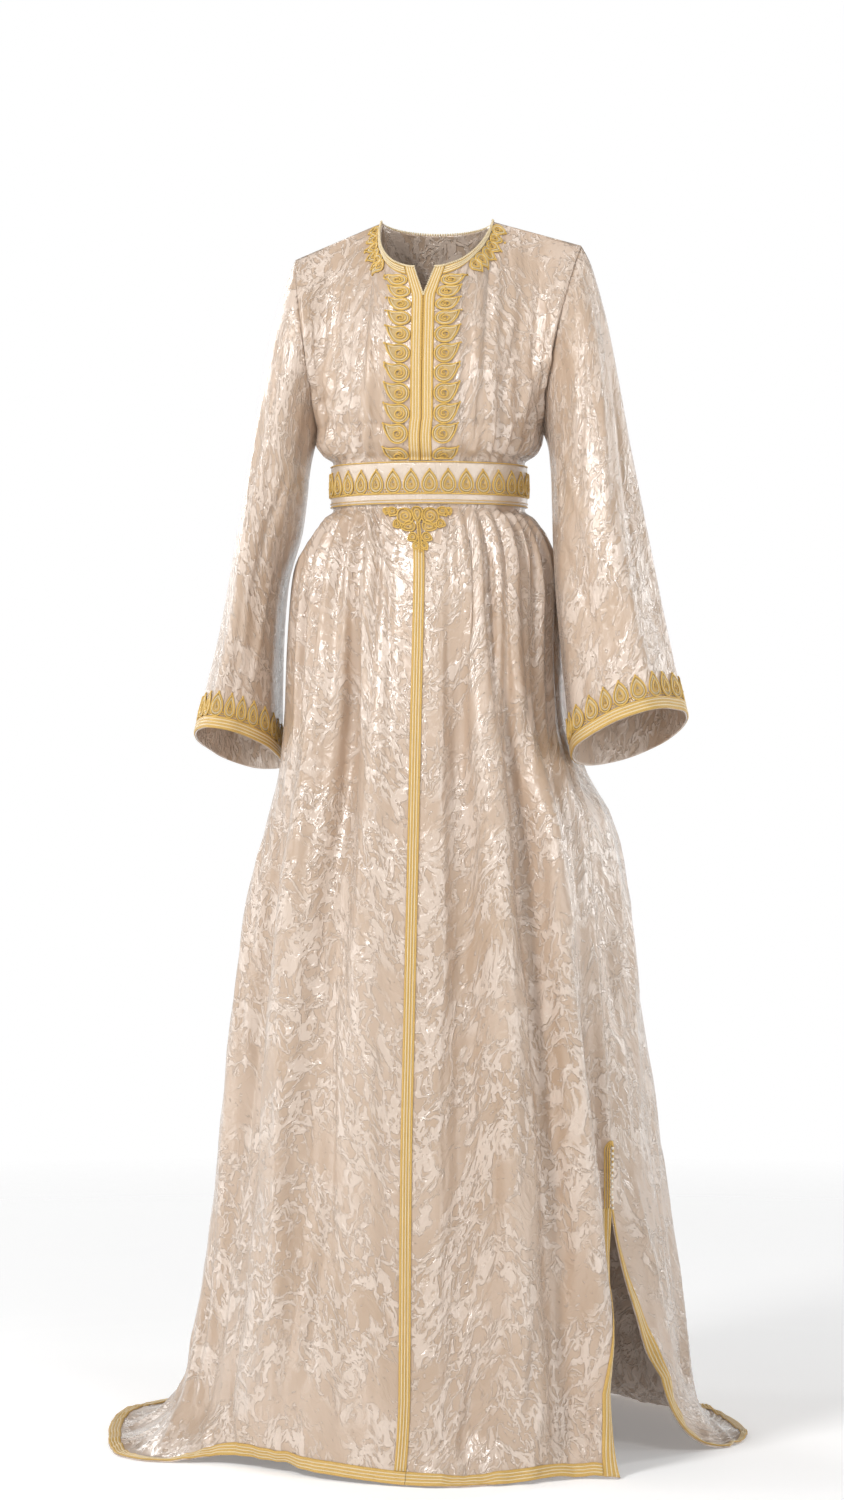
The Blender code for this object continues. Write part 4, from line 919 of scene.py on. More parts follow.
def shell(name, cloth, wall, reference=0.5):
    """A closed thin shell, mapped by its lengths from one column and down.

    A closed cloth has its seam on the side away from its first column.
    """
    closed = cloth.period > 0
    turn = cloth.grid.shape[1] // 2 if closed else 0
    outer = np.roll(cloth.grid, turn, axis=1)
    inner = np.roll(cloth.grid - cloth.normal * wall, turn, axis=1)
    rows, columns = outer.shape[:2]
    around = np.concatenate([outer, outer[:, :1]], axis=1) if closed else outer
    u = travel(around, 1)
    u -= u[:, [int(reference * (columns - 1))]]
    uv = np.stack([u, -travel(around)], axis=-1)
    faces = np.stack([uv[:-1, :-1], uv[1:, :-1], uv[1:, 1:], uv[:-1, 1:]], axis=2).reshape(-1, 4, 2)
    plain = uv[:, :columns].reshape(-1, 2)
    rim = np.concatenate([plain, plain])[rim_quads(rows, columns, closed)]
    corners = np.concatenate([faces, faces[:, ::-1], rim])
    return quad_mesh(name, both_walls(outer, inner), wall_quads(rows, columns, closed), corners)


class Pile:
    """Collects cords, beads and strips that are joined into one mesh."""

    def __init__(self):
        self.points = []
        self.quads = []
        self.uvs = []
        self.count = 0

    def add(self, points, quads, uvs):
        self.points.append(points)
        self.quads.append(quads + self.count)
        self.uvs.append(uvs.reshape(-1, 2))
        self.count += len(points)

    def rings(self, ring, across, down, closed=False):
        """A skin over rings of points, capped at both ends or closed to a loop."""
        count, sides = ring.shape[:2]
        quads = np.roll(grid_quads(count + closed, sides, True, flip=True), 1, axis=1) % (count * sides)
        if not closed:
            caps = cap_quads(0, sides, True) + cap_quads((count - 1) * sides, sides, False)
            quads = np.concatenate([quads, caps])
        self.add(ring.reshape(-1, 3), quads, np.stack(np.broadcast_arrays(across, down), axis=-1))

    def cord(self, places, lift, radius, closed=False, sides=6):
        """A round cord over a row of places, each a point of the cloth and its normal."""
        ups = np.array([normal for _, normal in places])
        centres = np.array([point for point, _ in places]) + ups * lift
        if closed:
            tangent = np.roll(centres, -1, axis=0) - np.roll(centres, 1, axis=0)
        else:
            tangent = np.gradient(centres, axis=0)
        tangent = unit(tangent + 1e-12)
        across = unit(np.cross(tangent, ups))
        ups = unit(np.cross(across, tangent))
        turn = 2 * np.pi * np.arange(sides) / sides
        around = np.cos(turn)[:, None] * across[:, None] + np.sin(turn)[:, None] * ups[:, None]
        self.rings(around * radius + centres[:, None], travel(centres)[:, None], turn * radius, closed)

    def bead(self, place, lift, radius, tall=1.0):
        """A round or flattened bead over a place of the cloth."""
        point, up = place
        side = unit(np.cross(up, (0.3, 0.5, 0.81)))
        lat = np.linspace(-math.pi / 2 * 0.92, math.pi / 2 * 0.92, BEAD_RINGS)[:, None]
        turn = 2 * np.pi * np.arange(BEAD_SIDES) / BEAD_SIDES
        around = np.cos(turn)[:, None] * side + np.sin(turn)[:, None] * np.cross(up, side)
        ring = (np.cos(lat)[..., None] * around + tall * np.sin(lat)[..., None] * up) * radius
        self.rings(ring + point + up * lift, turn * radius, lat * radius)

    def strip(self, outer, inner, closed=False):
        uv = np.stack([travel(outer, 1), travel(outer)], axis=-1).reshape(-1, 2)
        self.add(both_walls(outer, inner), wall_quads(*outer.shape[:2], closed), np.concatenate([uv, uv]))

    def build(self, name, material, *nodes):
        quads = np.concatenate(self.quads)
        obj = quad_mesh(name, np.concatenate(self.points), quads, np.concatenate(self.uvs)[quads])
        return finish_piece(obj, material, "gold_cord", *nodes)


def finish_piece(obj, material, slot, *nodes):
    obj.data.materials.append(material)
    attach(obj, "root")
    if nodes:
        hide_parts(*nodes)
    return obj


# Materials


class Nodes:
    """The nodes of a material or world, made by short calls that return sockets."""

    def __init__(self, owner):
        owner.use_nodes = True
        self.tree = owner.node_tree

    def feed(self, socket, value):
        if isinstance(value, bpy.types.NodeSocket):
            self.tree.links.new(value, socket)
        else:
            socket.default_value = value

    def make(self, kind, inputs, **settings):
        made = self.tree.nodes.new("ShaderNode" + kind)
        for name, value in settings.items():
            setattr(made, name, value)
        for name, value in inputs.items():
            self.feed(made.inputs[name], value)
        return made

    def cloth_place(self):
        return self.make("UVMap", {}, uv_map="cloth").outputs["UV"]

    def place(self, output="Object"):
        return self.make("TexCoord", {}).outputs[output]

    def noise(self, place, scale, detail, roughness=0.5, distortion=0.0, output="Fac"):
        inputs = {"Vector": place, "Scale": scale, "Detail": detail, "Roughness": roughness}
        return self.make("TexNoise", {**inputs, "Distortion": distortion}).outputs[output]

    def wave(self, place, scale, distortion):
        inputs = {"Vector": place, "Scale": scale, "Distortion": distortion, "Detail": 1.0}
        return self.make("TexWave", inputs).outputs["Fac"]

    def vector(self, operation, a, b):
        return self.make("VectorMath", {0: a, 1: b}, operation=operation).outputs[0]

    def maths(self, operation, a, b=0.0, clamp=False):
        return self.make("Math", {0: a, 1: b}, operation=operation, use_clamp=clamp).outputs[0]

    def ramp(self, value, *stops):
        made = self.make("ValToRGB", {"Fac": value})
        for element, (place, level) in zip(made.color_ramp.elements, stops):
            element.position = place
            element.color = (level, level, level, 1.0)
        return made.outputs["Color"]

    def mixed(self, share, a, b):
        made = self.make("Mix", {}, data_type="RGBA")
        sockets = {socket.identifier: socket for socket in made.inputs}
        for name, value in (("Factor_Float", share), ("A_Color", a), ("B_Color", b)):
            self.feed(sockets[name], value)
        return next(socket for socket in made.outputs if socket.identifier == "Result_Color")

    def spread(self, value, low, high):
        return self.make("MapRange", {"Value": value, "To Min": low, "To Max": high}).outputs["Result"]

    def bump(self, height, strength, distance):
        inputs = {"Height": height, "Strength": strength, "Distance": distance}
        return self.make("Bump", inputs).outputs["Normal"]

    def veins(self, place, scale, width, detail, roughness):
        """Thin wandering lines where a cloudy noise passes its middle value."""
        cloud = self.noise(place, scale, detail, roughness, 0.6)
        away = self.maths("ABSOLUTE", self.maths("SUBTRACT", cloud, 0.5))
        return self.ramp(away, (width, 1.0), (width * 1.7, 0.0))

    def principled(self, values):
        shader = self.tree.nodes["Principled BSDF"]
        for name, value in values.items():
            self.feed(shader.inputs[name], value)


def satin_material(name, ground, figure, shade, figure_share=1.0):
    """Satin jacquard: a soft ground with a glossy branching figure, fine threads and light crumpling."""
    made = bpy.data.materials.new(name)
    n = Nodes(made)
    place = n.cloth_place()
    warp = n.noise(place, 30.0, 5.0, output="Color")
    off = n.vector("MULTIPLY", n.vector("SUBTRACT", warp, (0.5, 0.5, 0.5)), (0.024, 0.040, 0.0))
    bent = n.vector("ADD", place, off)
    long = n.make("Mapping", {"Vector": bent, "Scale": (1.0, 0.72, 1.0)}).outputs["Vector"]
    patch = n.noise(place, 11.0, 2.0)
    lace_patch = n.ramp(patch, (0.42, 0.0), (0.50, 1.0))
    lace = n.maths("MULTIPLY", n.veins(long, 62.0, 0.030, 3.0, 0.55), lace_patch)
    branch_patch = n.ramp(patch, (0.36, 0.0), (0.44, 1.0))
    branch = n.maths("MULTIPLY", n.veins(long, 17.0, 0.017, 4.0, 0.60), branch_patch)
    blots = n.ramp(n.noise(long, 24.0, 6.0, 0.62), (0.585, 0.0), (0.615, 1.0))
    flecks = n.ramp(n.noise(bent, 130.0, 2.0), (0.645, 0.0), (0.675, 1.0))
    mask = n.maths("MAXIMUM", n.maths("MAXIMUM", lace, branch), n.maths("MAXIMUM", blots, flecks))
    mask = n.maths("MULTIPLY", mask, figure_share, clamp=True)
    base = n.mixed(n.ramp(n.noise(place, 6.0, 2.0), (0.35, 0.0), (0.65, 1.0)), ground, shade)
    shards = n.maths("MULTIPLY", n.maths("MULTIPLY", n.noise(long, 85.0, 2.0, 0.5, 1.6), 0.45), mask)
    height = n.maths("ADD", n.noise(bent, 46.0, 3.0, 0.5, 0.8), n.maths("MULTIPLY", mask, 0.30))
    height = n.maths("ADD", height, shards)
    height = n.maths("ADD", height, n.maths("MULTIPLY", n.wave(place, 330.0, 0.4), 0.02))
    normal = n.bump(height, 0.9, 0.0024)
    n.principled({
        "Base Color": n.mixed(mask, base, figure),
        "Roughness": n.spread(mask, 0.34, 0.17),
        "Normal": normal,
        "Specular IOR Level": 0.85,
        "Sheen Weight": 0.08,
        "Sheen Roughness": 0.4,
        "Coat Normal": normal,
        "Coat Weight": 0.65,
        "Coat Roughness": 0.16,
    })
    return made


def gold_material(name, light, dark, twist):
    """Gold thread laid in cords: slanting wraps and glints in the relief, a colour with painted highlights
    on the wraps' crests and glints and painted shade in the grooves between the wraps, and darker patches at
    random.
    """
    made = bpy.data.materials.new(name)
    n = Nodes(made)
    place = n.cloth_place()
    turned = n.make("Mapping", {"Vector": place, "Rotation": (0.0, 0.0, math.radians(35))}).outputs["Vector"]
    wraps = n.wave(turned, twist, 0.5)
    glint = n.noise(place, 900.0, 2.0)
    # Painted light and shade: the colour is lighter on the wraps' crests and at the fine glints (painted
    # highlights) and darker in the grooves between the wraps (painted shade).
    painted_shade_glint = n.maths("ADD", n.maths("MULTIPLY", wraps, 0.45), n.maths("MULTIPLY", glint, 0.7))
    colour = n.mixed(n.ramp(painted_shade_glint, (0.35, 0.0), (0.85, 1.0)), dark, light)
    height = n.maths("ADD", wraps, n.maths("MULTIPLY", glint, 0.5))
    n.principled({
        "Base Color": n.mixed(n.maths("MULTIPLY", n.noise(place, 60.0, 2.0), 0.35), colour, dark),
        "Roughness": n.spread(glint, 0.30, 0.52),
        "Normal": n.bump(height, 0.6, 0.0005),
        "Metallic": 0.15,
    })
    return made


def pearl_material():
    made = bpy.data.materials.new("pearl")
    n = Nodes(made)
    cloud = n.noise(n.place(), 300.0, 1.0)
    colour = n.mixed(cloud, (0.86, 0.78, 0.64, 1.0), (0.95, 0.92, 0.86, 1.0))
    n.principled({"Base Color": colour, "Roughness": 0.22, "Coat Weight": 0.5})
    return made


def floor_material():
    made = bpy.data.materials.new("pale_floor")
    n = Nodes(made)
    place = n.place()
    colour = n.mixed(n.noise(place, 1.5, 2.0), (0.93, 0.93, 0.93, 1.0), (0.96, 0.96, 0.96, 1.0))
    away = n.make("VectorMath", {0: place}, operation="LENGTH").outputs["Value"]
    n.principled({
        "Base Color": colour,
        "Alpha": n.ramp(n.maths("DIVIDE", away, FLOOR_RADIUS), (0.18, 1.0), (0.9, 0.0)),
        "Emission Color": colour,
        "Emission Strength": 0.22,
        "Roughness": 0.8,
    })
    return made


SATIN = satin_material(
    "satin", (0.49, 0.352, 0.247, 1.0), (0.665, 0.54, 0.445, 1.0), (0.55, 0.412, 0.308, 1.0),
)
BELT_SATIN = satin_material(
    "belt_satin", (0.64, 0.53, 0.43, 1.0), (0.72, 0.62, 0.54, 1.0), (0.62, 0.51, 0.41, 1.0), 0.2,
)
# Each gold takes a lighter and a darker colour: painted highlight and painted shade along its wraps, the
# darker one also in patches at random.
GOLD_PALE = gold_material("gold_pale", (0.96, 0.86, 0.64, 1.0), (0.78, 0.62, 0.36, 1.0), 380.0)
GOLD = gold_material("gold_cord", (0.92, 0.64, 0.20, 1.0), (0.66, 0.41, 0.09, 1.0), 420.0)
GOLD_BAND = gold_material("gold_braid", (0.84, 0.57, 0.19, 1.0), (0.58, 0.35, 0.08, 1.0), 300.0)
GOLD_DARK = gold_material("gold_bead", (0.80, 0.54, 0.18, 1.0), (0.50, 0.30, 0.08, 1.0), 360.0)
GOLD_GROUND = gold_material("gold_ground", (0.80, 0.60, 0.32, 1.0), (0.66, 0.47, 0.22, 1.0), 360.0)
PEARL = pearl_material()

# Cloth pieces

left, back, right = body_cloth()
sleeve_left = sleeve_cloth(left, back, SLEEVE_LEFT, 1)
sleeve_right = sleeve_cloth(right, back, SLEEVE_RIGHT, -1)
belt = belt_cloth()
for name, cloth, reference in (
    ("front_left", left, 0.0),
    ("back", back, 0.5),
    ("front_right", right, 1.0),
    ("sleeve_left", sleeve_left, 0.5),
    ("sleeve_right", sleeve_right, 0.5),
):
    finish_piece(shell("cloth_" + name, cloth, WALL, reference), SATIN, "satin", name)
belt_piece = finish_piece(shell("cloth_belt", belt, BELT_WALL - 0.0003), BELT_SATIN, "satin", "belt")

# Bands of braid: all the pale cords in their furrows and in the motifs go into one piece

PALE = Pile()


def add_band(name, cloth, columns, rows, cords, samples, upright=False):
    """A braid of parallel cords between two columns and two rows, level or upright."""
    closed = not upright and cloth.period > 0
    along_shares = np.linspace(0, 1, samples, endpoint=not closed)
    across_shares = np.linspace(0, 1, cords * 4 + 1)

    def place(across, onward):
        over, down = (across, onward) if upright else (onward, across)
        return cloth.at(columns[0] + (columns[1] - columns[0]) * over, rows[0] + (rows[1] - rows[0]) * down)

    for share in (0.25, 0.5, 0.75):
        PALE.cord([place(share, t) for t in along_shares], 0.0012, 0.0009, closed, 5)
    outer = np.empty((samples, len(across_shares), 3))
    inner = np.empty_like(outer)
    for j, share in enumerate(across_shares):
        height = 0.0007 + 0.0011 * abs(math.sin(math.pi * cords * share)) ** 0.7
        for i, t in enumerate(along_shares):
            point, normal = place(share, t)
            inner[i, j] = point + normal * 0.0004
            outer[i, j] = point + normal * height
    if not upright:
        outer, inner = outer.swapaxes(0, 1), inner.swapaxes(0, 1)
    pile = Pile()
    pile.strip(outer, inner, closed)
    pile.build("braid_" + name, GOLD_BAND, name)


def add_bands():
    last = FRONT_COLUMNS
    inner_edge, outer_edge = (0.02, 1.0), (last - 1.0, last - 0.02)
    hem_row, band_row = left.rows[-1], left.rows[-5]
    belt_drop = BELT_TOP_DROP - 0.001
    slit_drop = SLIT_TOP_DROP - 0.002
    for name, cloth, edge, rows, cords, samples in (
        ("placket_band_left", left, inner_edge, (0.0, left.row_at_drop(0, belt_drop)), 4, 110),
        ("placket_band_right", right, outer_edge, (0.0, right.row_at_drop(last, belt_drop)), 4, 110),
        ("skirt_band", right, outer_edge, (right.row_at_drop(last, 0.378), band_row), 5, 260),
        ("slit_band_front", left, outer_edge, (left.row_at_drop(last, slit_drop), hem_row), 4, 90),
        ("slit_band_back", back, inner_edge, (back.row_at_drop(0, slit_drop), hem_row), 4, 90),
    ):
        add_band(name, cloth, edge, rows, cords, samples, upright=True)
    hem, neck, cuff = (band_row, hem_row), (0.0, 1.0), (CUFF_ROW, CUFF_ROW + 1.0)
    shoulders = (BACK_SHOULDER_COLUMNS, BACK_COLUMNS - BACK_SHOULDER_COLUMNS)
    for name, cloth, columns, rows, cords, samples in (
        ("hem_band_left", left, (0.02, last - 1.02), hem, 4, 150),
        ("hem_band_right", right, (0.0, last - 0.02), hem, 4, 190),
        ("hem_band_back", back, (1.02, BACK_COLUMNS), hem, 4, 420),
        ("neck_band_left", left, (1.02, NECK_COLUMNS), neck, 3, 60),
        ("neck_band_right", right, (last - NECK_COLUMNS, last - 1.02), neck, 3, 60),
        ("neck_band_back", back, shoulders, neck, 3, 90),
        ("cuff_band_left", sleeve_left, (0.0, sleeve_left.period), cuff, 4, 200),
        ("cuff_band_right", sleeve_right, (0.0, sleeve_right.period), cuff, 4, 200),
    ):
        add_band(name, cloth, columns, rows, cords, samples)


add_bands()

# Motifs: each takes its three piles (cords, beads, grounds) and a spot that maps flat places to the cloth


def couch(pile, spot, path, radius, lift, closed=True):
    """A cord laid along a path of flat motif coordinates."""
    pile.cord([spot(x, y) for x, y in path], lift, radius, closed)


def drop_path(width, height, samples=24):
    """Outline of a full drop that stands on its round end, its tip at the top."""
    t = np.linspace(0, 2 * math.pi, samples, endpoint=False)
    x = width / 2 * np.sin(t) * np.sin(t / 2) ** 0.8 / 0.80
    return np.stack([x, height / 2 * (1 + np.cos(t))], axis=-1)


def nested(path, share, about):
    """The same outline drawn smaller about a point."""
    return about + (path - about) * share


def pad(pile, spot, outline, height=0.0012, rings=4):
    """A raised filled ground under a motif, from its middle out to its outline."""
    middle = outline.mean(axis=0)
    outer = np.empty((rings, len(outline), 3))
    inner = np.empty_like(outer)
    for i, share in enumerate(np.linspace(0.12, 1.0, rings)):
        for j, (x, y) in enumerate(nested(outline, share, middle)):
            point, normal = spot(x, y)
            inner[i, j] = point + normal * 0.0003
            outer[i, j] = point + normal * (0.0005 + height * (1 - share ** 3))
    pile.strip(outer, inner, closed=True)


def drop_motif(piles, spot, width, height):
    """Nested drops round a bead, with a bead on the tip."""
    cords, beads, grounds = piles
    path = drop_path(width, height)
    middle = np.array((0.0, height * 0.38))
    pad(grounds, spot, nested(path, 0.97, middle), 0.0009)
    couch(cords, spot, path, DROP_CORD, 0.0016)
    couch(PALE, spot, nested(path, 0.76, middle), DROP_CORD * 0.65, 0.0016)
    couch(cords, spot, nested(path, 0.50, middle), DROP_CORD * 0.85, 0.0020)
    beads.bead(spot(*middle), 0.0020, width * 0.085, 0.8)
    cords.bead(spot(0.0, height + DROP_CORD), 0.0010, DROP_CORD * 1.5, 0.8)


def paisley_path(width, height):
    """A paisley beside the placket: a round body by the band, its tip out and up at x = width."""
    t = np.radians(np.linspace(78, 335, 19))
    body = np.stack([width * (0.40 + 0.40 * np.cos(t)), height * (-0.03 + 0.46 * np.sin(t))], axis=-1)
    tip = np.array([width, height * 0.50])
    below = bow(body[-1], np.array((width * 0.93, height * 0.02)), tip, 6)[1:-1, 0]
    above = bow(tip, np.array((width * 0.72, height * 0.34)), body[0], 6)[1:-1, 0]
    return np.concatenate([body, below, [tip], above])


def paisley_motif(piles, spot, width, height):
    """A paisley with a coil in its body and beads on its middle, neck and tip."""
    cords, beads, grounds = piles
    path = paisley_path(width, height)
    middle = np.array((width * 0.40, -height * 0.03))
    pad(grounds, spot, nested(path, 0.97, middle), 0.0009)
    couch(cords, spot, path, PAISLEY_CORD, 0.0017)
    couch(PALE, spot, nested(path, 0.80, middle), PAISLEY_CORD * 0.60, 0.0016)
    turns = np.linspace(0, 1, 26)
    swirl = np.radians(100 + 560 * turns)
    size = 0.62 * (1 - 0.72 * turns)
    coil = np.stack([size * width * 0.40 * np.cos(swirl), size * height * 0.46 * np.sin(swirl)], axis=-1)
    couch(cords, spot, coil + middle, PAISLEY_CORD * 0.85, 0.0021, closed=False)
    beads.bead(spot(*middle), 0.0026, 0.0012, 0.8)
    cords.bead(spot(width * 0.80, height * 0.24), 0.0020, 0.0010)
    cords.bead(spot(width * 1.02, 0.52 * height), 0.0012, PAISLEY_CORD * 1.3, 0.8)


def build_motifs(name, piles, node):
    """The pieces of a motif row: the first stands for the row's node."""
    cords, beads, grounds = piles
    cords.build(name + "_cords", GOLD, node)
    beads.build(name + "_beads", GOLD_DARK)
    grounds.build(name + "_ground", GOLD_GROUND)


def row_of_drops(cloth, count, girth, base_row, row_height, size, dots, dot_lift):
    """Drops all round a closed cloth, with three dots between each two."""
    piles = Pile(), Pile(), Pile()

    def spot_at(share):
        middle = share * cloth.period / count
        return lambda x, y: cloth.at(middle + x * cloth.period / girth, base_row - y / row_height)

    for k in range(count):
        drop_motif(piles, spot_at(k + 0.5), *size)
        for x, y, radius in dots:
            piles[0].bead(spot_at(k)(x, y), dot_lift, radius, 0.8)
    return piles


BELT_DOTS = ((-0.0016, 0.0016, 0.0010), (0.0016, 0.0016, 0.0010), (0.0, 0.0042, 0.0012))
CUFF_DOTS = ((-0.0018, 0.0020, 0.0011), (0.0018, 0.0020, 0.0011), (0.0, 0.0048, 0.0013))
BELT_CORDS = ((0.25, 0.0007), (BELT_MOTIF_BASE + 0.15, 0.0011), (10.9, 0.0004), (11.75, 0.0007))

belt_piles = row_of_drops(
    belt, BELT_MOTIF_COUNT, 0.70, BELT_MOTIF_BASE, 0.05 / BELT_ROWS, (0.0178, 0.0265), BELT_DOTS, 0.0008,
)
for row, radius in BELT_CORDS:
    belt_piles[0].cord([belt.at(angle, row) for angle in range(360)], 0.0005, radius, True)
build_motifs("belt_motifs", belt_piles, "belt_motifs")
for name, cloth in (("cuff_motifs_left", sleeve_left), ("cuff_motifs_right", sleeve_right)):
    piles = row_of_drops(
        cloth, CUFF_MOTIF_COUNT, 0.54, CUFF_ROW, CUFF_MOTIF_HEIGHT, (0.0200, 0.0275), CUFF_DOTS, 0.0009,
    )
    build_motifs(name, piles, name)


def front_column(column, side):
    return column if side > 0 else FRONT_COLUMNS - column


def reach_column(distance, side):
    stops = (0.0, BAND_WIDTH, MOTIF_MIDDLE, MOTIF_REACH, 0.052)
    return front_column(float(np.interp(distance, stops, (0, 1, 2, 3, 3.9))), side)


def make_paisleys(cloth, side):
    piles = Pile(), Pile(), Pile()
    ends = PAISLEY_DROPS + (BELT_TOP_DROP + 0.004,)
    for top, bottom in zip(ends[:-1], ends[1:]):
        row = max(cloth.row_at_drop(front_column(1.0, side), (top + bottom) / 2), 1.0)
        foot, facing = cloth.at(reach_column(BAND_WIDTH, side), row)
        out = unit((cloth.at(reach_column(MOTIF_REACH, side), row)[0] - foot) * (1, 1, 0))
        up = unit(np.array([0.0, 0.0, 1.0]) - facing * facing[2])
        lowest = foot[2] + BELT_TOP_DROP - 0.001

        def spot(x, y, foot=foot, out=out, up=up, lowest=lowest):
            return cloth.nearest(foot + out * (x + 0.0012) + up * max(y, -lowest))

        paisley_motif(piles, spot, 0.0290, bottom - top)
    return piles


def make_neck_motifs(cloth, side):
    """Drops that stand out from the neck band all along it, laid by real distances on the cloth."""
    piles = Pile(), Pile(), Pile()
    for centre in np.linspace(3.2, NECK_COLUMNS - 0.1, NECK_MOTIF_COUNT + 1):
        before, (foot, facing), after = (
            cloth.at(front_column(column, side), 1.0) for column in (centre - 0.1, centre, centre + 0.1)
        )
        across = unit(after[0] - before[0])
        out = np.cross(facing, across) * -side
        out = unit(out - across * float(out @ across))

        def spot(x, y, foot=foot, across=across, out=out):
            return cloth.nearest(foot + across * x + out * (y + 0.0012))

        drop_motif(piles, spot, 0.0165, 0.0205)
    return piles


build_motifs("paisleys_left", make_paisleys(left, 1), "motifs_left")
build_motifs("paisleys_right", make_paisleys(right, -1), "motifs_right")
build_motifs("neck_motifs_l", make_neck_motifs(left, 1), "neck_motifs_left")
build_motifs("neck_motifs_r", make_neck_motifs(right, -1), "neck_motifs_right")


def front_spot(x, y):
    """Place x across the centre front and y up from under the belt, on whichever front is there."""
    x = x + PENDANT_SHIFT
    cloth, side = (left, 1) if x >= 0 else (right, -1)
    row = cloth.row_at_drop(front_column(1, side), BELT_BOTTOM_DROP + 0.004 - y)
    return cloth.at(reach_column(abs(x), side), row)


def spiral(cx, cy, radius, turns, sign, samples=34):
    t = np.linspace(0, 1, samples)
    r = radius * (1 - 0.84 * t)
    a = math.pi / 2 + sign * 2 * math.pi * turns * t
    return np.stack([cx + r * np.cos(a), cy + r * np.sin(a)], axis=-1)


def turned(path, angle, x, y, sign):
    """A path turned by degrees, moved to (x, y) and mirrored for sign -1."""
    c, s = math.cos(math.radians(angle)), math.sin(math.radians(angle))
    moved = np.stack([x + path[:, 0] * c - path[:, 1] * s, y + path[:, 0] * s + path[:, 1] * c], axis=-1)
    return moved if sign > 0 else (moved * (-1, 1))[::-1]


def filled(cords, grounds, path):
    middle = path.mean(axis=0)
    pad(grounds, front_spot, nested(path, 0.97, middle))
    couch(cords, front_spot, path, DROP_CORD, 0.0018)
    couch(cords, front_spot, nested(path, 0.55, middle), DROP_CORD * 0.85, 0.0023)


def make_pendant():
    """Two scrolls, a drop between them, leaves below and a row of beads down to the band."""
    cords, beads, grounds = piles = Pile(), Pile(), Pile()
    x, y, radius = PENDANT_SCROLL
    circle = np.linspace(0, 2 * math.pi, 20, endpoint=False)
    for sign in (-1, 1):
        disc = np.stack([sign * x + radius * np.cos(circle), y + radius * np.sin(circle)], axis=-1)
        pad(grounds, front_spot, disc)
        couch(cords, front_spot, disc, DROP_CORD, 0.0018)
        scroll = spiral(sign * x, y, radius * 0.80, 1.8, sign)
        couch(cords, front_spot, scroll, DROP_CORD, 0.0023, closed=False)
        for foot_x, foot_y, width, length, turn in PENDANT_LEAVES:
            filled(cords, grounds, turned(drop_path(width, length, 18), turn, foot_x, foot_y, sign))
    middle = drop_path(0.0120, 0.0200, 20) * (1, -1) + (0, 0.0005)
    filled(cords, grounds, middle[::-1])
    stem = np.array([(0.0, -0.0185 - 0.0022 * k) for k in range(17)])
    for side_step in (-0.0014, 0.0014):
        couch(cords, front_spot, stem + (side_step, 0.0), DROP_CORD, 0.0018, closed=False)
    for place in stem[1:]:
        beads.bead(front_spot(*place), 0.0026, 0.0011)
    return piles


build_motifs("pendant", make_pendant(), "pendant_motif")


# The slit's closing, the knot buttons and the knots along the neck


def seam_spot(x, drop):
    """Place beside the side seam above the slit."""
    cloth, column = (left, FRONT_COLUMNS) if x < 0 else (back, 0)
    return cloth.at(column + x / BAND_WIDTH, cloth.row_at_drop(column, drop))


def make_tab():
    """The slit's closing: a cord loop round a row of small pearls."""
    cords, pearls = Pile(), Pile()
    top = TAB_TOP_DROP + 0.010
    turn = np.linspace(-math.pi / 2 * 0.9, math.pi / 2 * 0.9, 9)
    for offset in (0.0, 0.0017, 0.0034):
        half = TAB_HALF_WIDTH - offset
        path = [(-half, SLIT_TOP_DROP + 0.001)]
        path += [(-half, drop) for drop in np.linspace(SLIT_TOP_DROP, top, 24)]
        path += [(half * math.sin(t), top - (0.010 - offset) * math.cos(t)) for t in turn]
        path += [(half, drop) for drop in np.linspace(top, SLIT_TOP_DROP, 24)]
        couch(cords, seam_spot, path, 0.0009, 0.0009, closed=False)
    for drop in np.linspace(TAB_TOP_DROP + 0.008, SLIT_TOP_DROP - 0.002, 12):
        pearls.bead(seam_spot(0.0001, drop), 0.0016, 0.0019)
    cords.build("tab_cords", GOLD, "slit_tab")
    pearls.build("tab_pearls", PEARL)


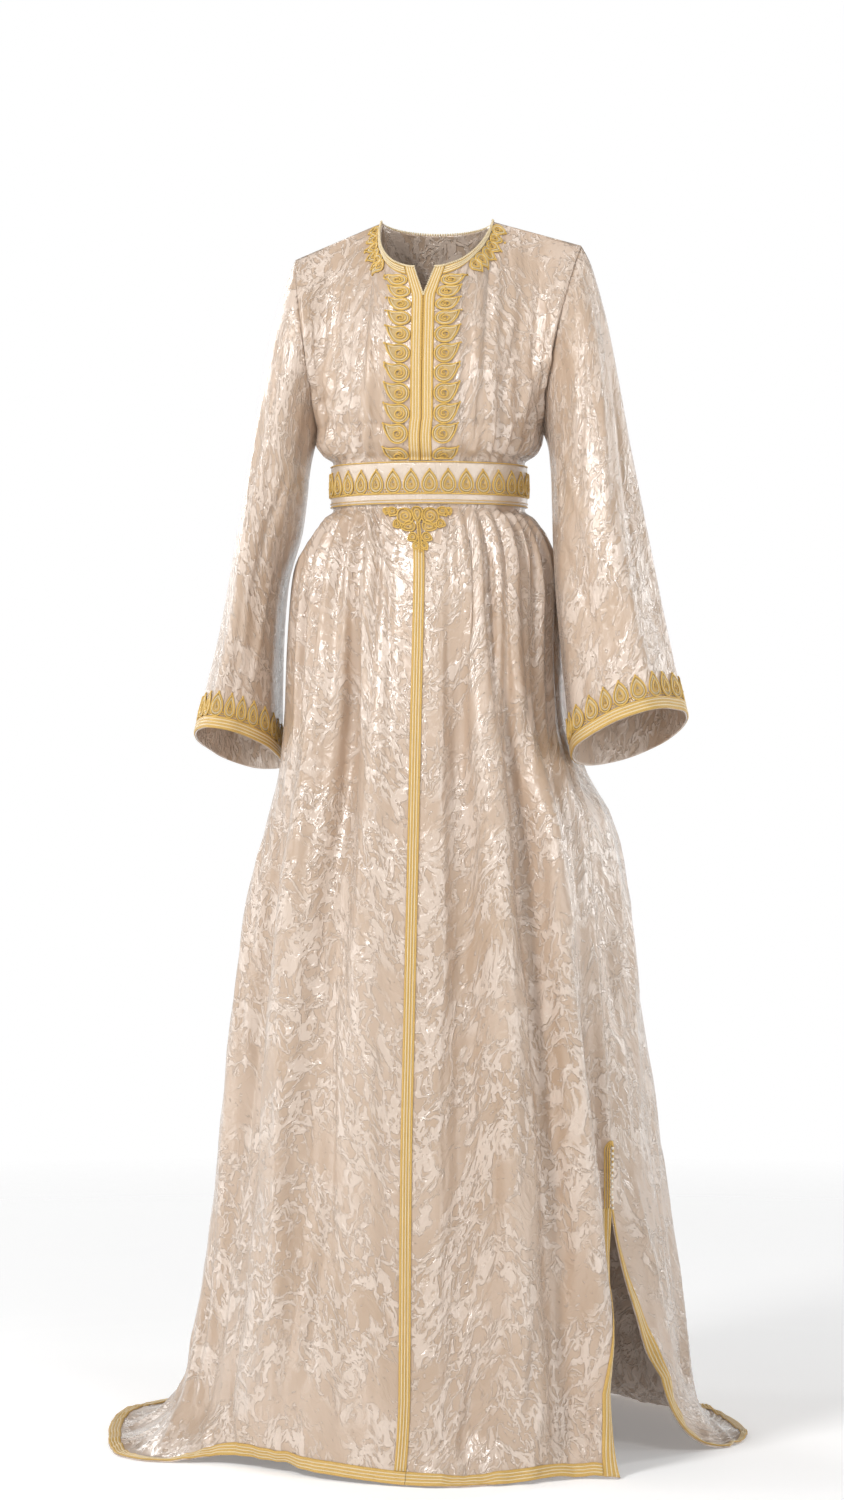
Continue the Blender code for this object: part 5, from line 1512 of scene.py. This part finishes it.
def make_knots():
    """Knot buttons down the placket, and small knots along the edge of the neck."""
    knots, edge = Pile(), Pile()

    def raised(place):
        return place[0] + (0, 0, 0.0010), place[1]

    for drop in np.arange(NOTCH_BOTTOM_DROP + 0.002, KNOTS_END_DROP, 0.0031):
        knots.bead(left.at(0.0, left.row_at_drop(0.0, drop)), 0.0014, 0.0013)
    last = FRONT_COLUMNS
    for cloth, start, end, centre in (
        (left, 0.0, NECK_COLUMNS, 0.0),
        (right, last - NECK_COLUMNS, last, last),
    ):
        for column in np.linspace(start, end, 44):
            edge.bead(raised(cloth.at(column, 0.0)), 0.0010, 0.0014)
        for drop in np.arange(NOTCH_DROP + 0.002, NOTCH_BOTTOM_DROP, 0.0024):
            edge.bead(cloth.at(centre, cloth.row_at_drop(centre, drop)), 0.0014, 0.0014)
    for column in np.linspace(BACK_SHOULDER_COLUMNS, BACK_COLUMNS - BACK_SHOULDER_COLUMNS, 70):
        edge.bead(raised(back.at(column, 0.0)), 0.0010, 0.0014)
    knots.build("knot_buttons", GOLD_DARK)
    edge.build("neck_edge_knots", GOLD_PALE)


make_tab()
make_knots()
PALE.build("pale_cords", GOLD_PALE)


# Floor, light and camera


def add_floor():
    bpy.ops.mesh.primitive_circle_add(
        vertices=96, radius=FLOOR_RADIUS, fill_type="NGON", location=(0, 0, -FLOOR_DROP - 0.0005),
    )
    floor = bpy.context.object
    floor.name = "floor"
    floor.data.materials.append(floor_material())


def add_area(name, place, size, energy):
    """A soft box that faces the middle of the garment."""
    light = bpy.data.lights.new(name, "AREA")
    light.shape = "RECTANGLE"
    light.size, light.size_y = size
    light.energy = energy
    obj = bpy.data.objects.new(name, light)
    bpy.context.scene.collection.objects.link(obj)
    obj.location = place
    facing = Vector((0.0, 0.0, LIGHT_TARGET_HEIGHT)) - Vector(place)
    obj.rotation_euler = facing.to_track_quat("-Z", "Y").to_euler()
    obj.visible_camera = False


def add_world():
    """A pale studio: bright below and round the horizon, dimmer above."""
    world = bpy.data.worlds.new("studio")
    bpy.context.scene.world = world
    n = Nodes(world)
    height = n.make("SeparateXYZ", {"Vector": n.place("Generated")}).outputs["Z"]
    background = n.tree.nodes["Background"]
    n.feed(background.inputs["Color"], n.ramp(height, (0.18, 1.0), (0.30, 0.12)))
    background.inputs["Strength"].default_value = 1.0


def add_camera():
    a = math.radians(CAMERA_AZIMUTH)
    camera = bpy.data.cameras.new("camera")
    camera.sensor_width = SENSOR
    camera.lens = SENSOR * CAMERA_DISTANCE / FRAME_HEIGHT
    obj = bpy.data.objects.new("camera", camera)
    bpy.context.scene.collection.objects.link(obj)
    obj.location = (
        CAMERA_DISTANCE * math.sin(a) - AXIS_RIGHT_OF_CENTRE * math.cos(a),
        -CAMERA_DISTANCE * math.cos(a) - AXIS_RIGHT_OF_CENTRE * math.sin(a),
        CAMERA_HEIGHT,
    )
    obj.rotation_euler = (math.pi / 2, 0.0, a)
    bpy.context.scene.camera = obj


add_floor()
add_world()
for light in SOFT_BOXES:
    add_area(*light)
bpy.context.scene.view_settings.view_transform = "Standard"
add_camera()
